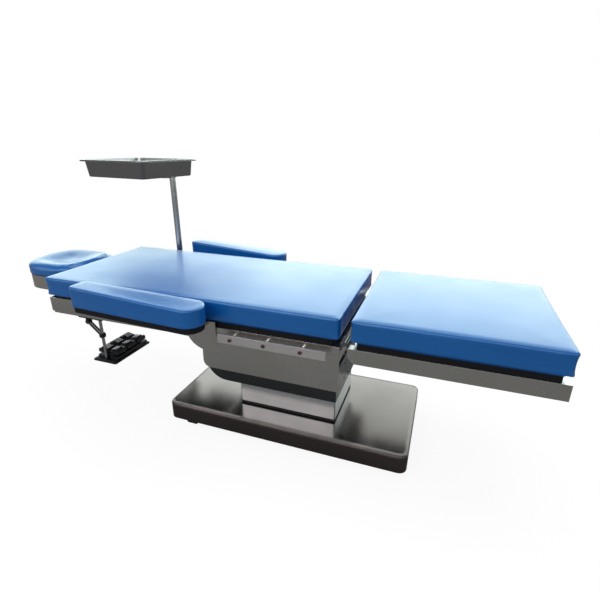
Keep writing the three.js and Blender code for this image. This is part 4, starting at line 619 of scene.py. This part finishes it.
def plinth(label, body):
    """The narrower foot of a section's pad, between the pad and its board."""
    inset, radius, flare = 15 * MM, 10 * MM, 1 * MM
    low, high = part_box(label + "_cushion")
    loops = []
    for out, z in ((0, 0), (0, PLINTH_HEIGHT * 0.8), (flare, PLINTH_HEIGHT)):
        loop = rounded_outline(low.x + inset - out, high.x - inset + out,
                               low.y + inset - out, high.y - inset + out, radius)
        loops.append(at_height(loop, low.z + z))
    verts, faces = ring_strip(loops)
    piece = new_piece(label + "_plinth", verts, faces, "vinyl", body)
    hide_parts(label + "_cushion")


def section_pads():
    for label, body, gap_side, seed in (("main", "back_section", 1, 1.7), ("leg", "leg_section", -1, 8.3)):
        slab_pad(label, body, gap_side, seed)
        plinth(label, body)


def head_pad():
    """The headrest's cushion: rounded rectangular rings up its wall, over its rim and down into its dish."""
    low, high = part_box("head_cushion")
    half_x, half_y = (high.x - low.x) / 2, (high.y - low.y) / 2
    cx, cy = (low.x + high.x) / 2, (low.y + high.y) / 2
    bottom, rim = low.z, high.z
    power, count = 3.4, 120
    foot, wall_inset, wall_shares = 8 * MM, 0.9 * MM, (0.3, 0.65)
    roll, roll_width, rolled_share = 22 * MM, 26 * MM, 0.9
    side_drop = 3 * MM
    dish_depth, dish_end, reach = 19 * MM, 0.92, half_y * 0.97
    roll_steps, dish_steps = 8, 16

    def loop(inset):
        points = []
        for c, s in circle(count):
            points.append((
                cx + (half_x - inset) * math.copysign(abs(c) ** (2 / power), c),
                cy + (half_y - inset) * math.copysign(abs(s) ** (2 / power), s),
            ))
        return points

    def drop(y):
        return side_drop * ((y - cy) / half_y) ** 2

    foot_rings = ((6 * MM, 0), (1.5 * MM, 2 * MM), (0.4 * MM, foot))
    rings = [at_height(loop(inset), bottom + z) for inset, z in foot_rings]
    for share in wall_shares:
        z = bottom + foot + (rim - roll - side_drop - foot - bottom) * share
        rings.append(at_height(loop(wall_inset), z))
    for step in range(roll_steps + 1):
        angle = math.pi / 2 * step / roll_steps
        inset = roll_width * (1 - math.cos(angle)) * rolled_share
        rings.append([(x, y, rim - drop(y) - roll + roll * math.sin(angle)) for x, y in loop(inset)])
    start = roll_width * rolled_share
    for step in range(1, dish_steps + 1):
        share = step / dish_steps
        inset = start + (reach - start) * share
        dish = dish_depth * (0.5 - 0.5 * math.cos(math.pi * min(share / dish_end, 1)))
        rings.append([(x, y, rim - drop(y) * (1 - share) - dish) for x, y in loop(inset)])
    verts, faces = ring_strip(rings)
    pad = new_piece("head_pad", verts, faces, "vinyl", "headrest")
    swell(pad, below(verts, bottom + 1 * MM), 1.5 * MM)
    cover(pad, "head_cushion")


ARM_LENGTH = 462 * MM


def arm_outline(inset):
    """Plan of an armrest, from its swivel stud: round at the foot end, square with soft corners at the other."""
    foot, head, reach = 52 * MM - inset, 40 * MM - inset, -ARM_LENGTH + inset
    corner = max(18 * MM - inset, 4 * MM)
    round_steps, side_steps, corner_steps = 24, 24, 8
    loop = []
    for step in range(round_steps + 1):
        angle = -math.pi / 2 + math.pi * step / round_steps
        loop.append((foot * math.cos(angle), foot * math.sin(angle)))

    def side(sign, begin, end):
        for step in range(1, side_steps):
            share = begin + (end - begin) * step / side_steps
            loop.append(((reach + corner) * share, sign * (foot + (head - foot) * share)))

    side(1, 0, 1)
    for cy, start in ((head - corner, 90), (-head + corner, 180)):
        for step in range(corner_steps + 1):
            angle = math.radians(start + 90 * step / corner_steps)
            loop.append((reach + corner + corner * math.cos(angle), cy + corner * math.sin(angle)))
    side(-1, 1, 0)
    return loop


def arm_pads():
    """Two armrests, thicker towards the head end."""
    stud_x, stud_y = -238 * MM, 350 * MM
    thickness, wedge, crown = 64 * MM, 13 * MM, 1.6 * MM
    foot, edge, top_reach = 7 * MM, 7 * MM, 36 * MM
    edge_steps, top_steps = 5, 6
    for label, sign, degrees in (("front", -1, -1.5), ("rear", 1, -6)):
        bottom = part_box("arm_cushion_" + label)[0].z
        top = bottom + thickness
        stud = PLAN + Vector((stud_x, sign * stud_y, 0))
        turn = math.radians(degrees)

        def placed(inset, z):
            ring = []
            for x, y in arm_outline(inset):
                lift = wedge * max(-x, 0) / ARM_LENGTH * (z - bottom) / thickness
                ring.append((
                    stud.x + x * math.cos(turn) - y * math.sin(turn),
                    stud.y + x * math.sin(turn) + y * math.cos(turn), z + lift,
                ))
            return ring

        rings = [placed(5 * MM, bottom), placed(1 * MM, bottom + 2.5 * MM), placed(0.2 * MM, bottom + foot)]
        for share in (0.25, 0.5, 0.75):
            rings.append(placed(1.2 * MM, bottom + foot + (thickness - edge - foot) * share))
        for step in range(edge_steps + 1):
            angle = math.pi / 2 * step / edge_steps
            rings.append(placed(0.4 * MM + edge * (1 - math.cos(angle)), top - edge + edge * math.sin(angle)))
        for step in range(1, top_steps + 1):
            share = step / top_steps
            rings.append(placed(edge + (top_reach - edge) * share, top + crown * math.sin(math.pi / 2 * share)))
        verts, faces = ring_strip(rings)
        pad = new_piece("arm_pad_" + label, verts, faces, "vinyl", "armrest_" + label)
        swell(pad, below(verts, bottom + 1 * MM), 1.5 * MM)
        cover(pad, "arm_cushion_" + label)


# ---------------------------------------------------------------- small parts

def prism(name, outline, y0, y1, look, body):
    """A closed prism along y on an outline of (x, z) points, with its two ends chamfered."""
    chamfer, narrow, low = 0.8 * MM, 0.97, 0.9
    middle_x, middle_z = np.mean(np.array(outline), axis=0)
    rings = []
    for y, wide, tall in ((y0, narrow, low), (y0 + chamfer, 1, 1), (y1 - chamfer, 1, 1), (y1, narrow, low)):
        rings.append([(middle_x + (x - middle_x) * wide, y, middle_z + (z - middle_z) * tall) for x, z in outline])
    verts, faces = ring_strip(rings)
    piece = new_piece(name, verts, faces, look, body, smooth=False)
    bm = bmesh.new()
    bm.from_mesh(piece.data)
    bmesh.ops.recalc_face_normals(bm, faces=bm.faces)
    bm.to_mesh(piece.data)
    bm.free()


def pedal_treads():
    """A raised black pad with light ribs on each half of each pedal."""
    width, pad_rise, sunk, bevel, bevel_share = 27 * MM, 5.2 * MM, 0.9 * MM, 1 * MM, 0.04
    ribs, rib_start, rib_end, rib_flare = 4, 0.18, 0.82, 0.01
    rib_rise, rib_sunk, rib_short = 1 * MM, 0.3 * MM, 2.5 * MM
    half_rise, half_run, from_middle = 8 * MM, 41 * MM, 23 * MM  # The CAD pedal's two slopes
    slope = math.atan2(half_rise, half_run)
    for number in (1, 2, 3):
        low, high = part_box("switch_pedal_%d" % number)
        body = "pedal_%d" % number
        margin = (high.y - low.y) / 6
        y0, y1 = low.y + margin, high.y - margin
        ridge = high.z - half_rise
        for side in (-1, 1):
            centre_x = (low.x + high.x) / 2 + side * from_middle
            centre_z = (ridge + high.z) / 2 + sunk
            label = "%d_%s" % (number, "foot" if side > 0 else "head")

            def spot(share, rise):
                run = (share - 0.5) * width
                return (centre_x + side * (run * math.cos(slope) - rise * math.sin(slope)),
                        centre_z + run * math.sin(slope) + rise * math.cos(slope))

            pad = [spot(0, -sunk), spot(1, -sunk), spot(1, pad_rise - bevel), spot(1 - bevel_share, pad_rise),
                   spot(bevel_share, pad_rise), spot(0, pad_rise - bevel)]
            prism("pedal_pad_" + label, pad, y0, y1, "plastic", body)
            for rib in range(ribs):
                start, end = (rib + rib_start) / ribs, (rib + rib_end) / ribs
                bar = [spot(start - rib_flare, pad_rise - rib_sunk), spot(end + rib_flare, pad_rise - rib_sunk),
                       spot(end, pad_rise + rib_rise), spot(start, pad_rise + rib_rise)]
                name = "pedal_rib_%s_%d" % (label, rib + 1)
                prism(name, bar, y0 + rib_short, y1 - rib_short, "tread", body)


def rail_bolts():
    """A domed cap with a hexagon socket on each bolt of the two side rails."""
    bolts_x = (-125.5, -7.41, 115.5)
    dome = ((6.7, 0.1), (6.9, 1.0), (6.8, 3.4), (6.2, 4.5), (4.6, 5.1), (3.6, 5.2))
    socket = ((3, 5.2), (3, 4.2))  # Radius and height of each ring, in millimetres, as in the dome
    count, cad_head = 24, 4 * MM

    def hexagon(angle):
        """A hexagon's reach at an angle, as a share of its corners' radius."""
        return math.cos(math.pi / 6) / math.cos((angle + math.pi / 6) % (math.pi / 3) - math.pi / 6)

    for label, sign in (("front", -1), ("rear", 1)):
        low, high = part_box("side_rail_" + label)
        face = (low.y if sign < 0 else high.y) - sign * cad_head
        height = (low.z + high.z) / 2

        def ring(x, radius, out, shape):
            points = []
            for k in range(count):
                angle = math.tau * k / count
                reach = radius * MM * shape(angle)
                points.append((PLAN.x + x * MM + reach * math.cos(angle), face + sign * out * MM,
                               height + reach * math.sin(angle)))
            return points if sign < 0 else points[::-1]

        for number, x in enumerate(bolts_x, 1):
            loops = [ring(x, radius, out, lambda angle: 1) for radius, out in dome]
            loops += [ring(x, radius, out, hexagon) for radius, out in socket]
            verts, faces = ring_strip(loops)
            name = "rail_bolt_%s_%d" % (label, number)
            split_edges(new_piece(name, verts, faces, "bolt", "back_section"), 40)


# ---------------------------------------------------------------- studio

def world_light():
    """
    The camera sees white. Matt surfaces get a plain soft light. Glossy ones mirror a room: pale in a band
    behind the table and in one ahead of it, dim elsewhere, with one soft dark place.
    """
    dim, band, front_band = (0.26, 0.26, 0.26), (2.25, 2.66, 2.6), (1.7, 1.72, 1.75)
    matt, white = (0.36, 0.37, 0.38), (1, 1, 1)
    world = bpy.data.worlds.new("studio")
    bpy.context.scene.world = world
    world.use_nodes = True
    tree = Tree(world.node_tree)
    tree.tree.nodes.clear()
    rays = tree.node("ShaderNodeLightPath").outputs
    split = tree.node("ShaderNodeSeparateXYZ")
    tree.join(tree.node("ShaderNodeTexCoord").outputs["Generated"], split.inputs["Vector"])
    x, y, z = split.outputs

    def squared(source, centre, reach):
        offset = tree.math("MULTIPLY_ADD", source, 1 / reach, -centre / reach)
        return tree.product(offset, offset)

    over = tree.ramp(z, -0.05, 0.08)
    behind = tree.product(tree.ramp(y, 0.0, 0.5), tree.ramp(z, 0.69, 0.54))
    from_spot = tree.math("ADD", squared(x, -0.56, 0.15), squared(z, 0.31, 0.07))
    behind = tree.product(behind, tree.product(over, tree.ramp(from_spot, 0.3, 1.5)))
    ahead = tree.product(tree.ramp(y, -0.3, -0.7), tree.product(over, tree.ramp(z, 0.6, 0.4)))
    room = tree.blend(ahead, tree.blend(behind, dim, band), front_band)
    mirrored = tree.math("MAXIMUM", rays["Is Glossy Ray"], rays["Is Transmission Ray"])
    colour = tree.blend(rays["Is Camera Ray"], tree.blend(mirrored, matt, room), white)
    background = tree.node("ShaderNodeBackground", Strength=1.0)
    tree.join(colour, background.inputs["Color"])
    tree.join(background.outputs[0], tree.node("ShaderNodeOutputWorld").inputs["Surface"])


def lamp(name, place, aim, width, height, radiance, colour=(1, 1, 1)):
    """A soft box at a place, from the middle of the base, that shines towards aim."""
    data = bpy.data.lights.new(name, "AREA")
    data.shape = "RECTANGLE"
    data.size = width
    data.size_y = height
    data.energy = radiance * math.pi * width * height
    data.color = colour
    obj = bpy.data.objects.new(name, data)
    bpy.context.scene.collection.objects.link(obj)
    obj.location = PLAN + Vector(place)
    obj.rotation_mode = "QUATERNION"
    obj.rotation_quaternion = (Vector(aim) - Vector(place)).to_track_quat("-Z", "Y")
    obj.visible_camera = False


def floor_material():
    """The camera sees white with the object's shadow, which fades out. Other rays meet a pale matt floor."""
    fade_start, fade_end = 0.9, 2.3
    material = bpy.data.materials.new("floor")
    material.use_nodes = True
    tree = Tree(material.node_tree)
    tree.tree.nodes.clear()
    matt = tree.node("ShaderNodeBsdfDiffuse", Color=(0.28, 0.28, 0.275, 1)).outputs[0]
    both = tree.node("ShaderNodeAddShader")
    tree.join(tree.node("ShaderNodeBsdfDiffuse", Color=(0.15, 0.15, 0.15, 1)).outputs[0], both.inputs[0])
    tree.join(tree.node("ShaderNodeEmission", Strength=0.91).outputs[0], both.inputs[1])
    clear = tree.node("ShaderNodeBsdfTransparent").outputs[0]
    distance = tree.node("ShaderNodeVectorMath", operation="LENGTH")
    tree.join(tree.node("ShaderNodeTexCoord").outputs["Object"], distance.inputs[0])
    fade = tree.ramp(distance.outputs["Value"], fade_start, fade_end)
    seen = tree.mix_shaders(fade, both.outputs[0], clear)
    camera_ray = tree.node("ShaderNodeLightPath").outputs["Is Camera Ray"]
    surface = tree.mix_shaders(camera_ray, matt, seen)
    tree.join(surface, tree.node("ShaderNodeOutputMaterial").inputs["Surface"])
    return material


def floor_disc():
    reach, under = 2.4, -0.0005
    verts, faces = ring_strip([at_height(circle(64, radius), under) for radius in (reach, reach * 0.5)], False)
    mesh = bpy.data.meshes.new("floor")
    mesh.from_pydata(verts, [], faces)
    mesh.materials.append(floor_material())
    floor = bpy.data.objects.new("floor", mesh)
    floor.location = PLAN
    bpy.context.scene.collection.objects.link(floor)


def studio():
    world_light()
    lamp("rear_softbox", (-0.5, 3.6, 1.6), (-0.3, 0, 0.9), 5.0, 1.0, 0.8, (0.95, 1.02, 1.03))
    lamp("overhead", (0.1, 0.5, 3.1), (0.0, 0, 0), 3.4, 2.0, 2.0)
    lamp("front_strip", (-0.75, -2.3, 1.9), (0.0, 0, 0.3), 2.4, 0.8, 2.6)
    floor_disc()
    bpy.context.scene.view_settings.view_transform = "Standard"


make_camera()
dress_nodes()
section_pads()
head_pad()
arm_pads()
pedal_treads()
rail_bolts()
studio()
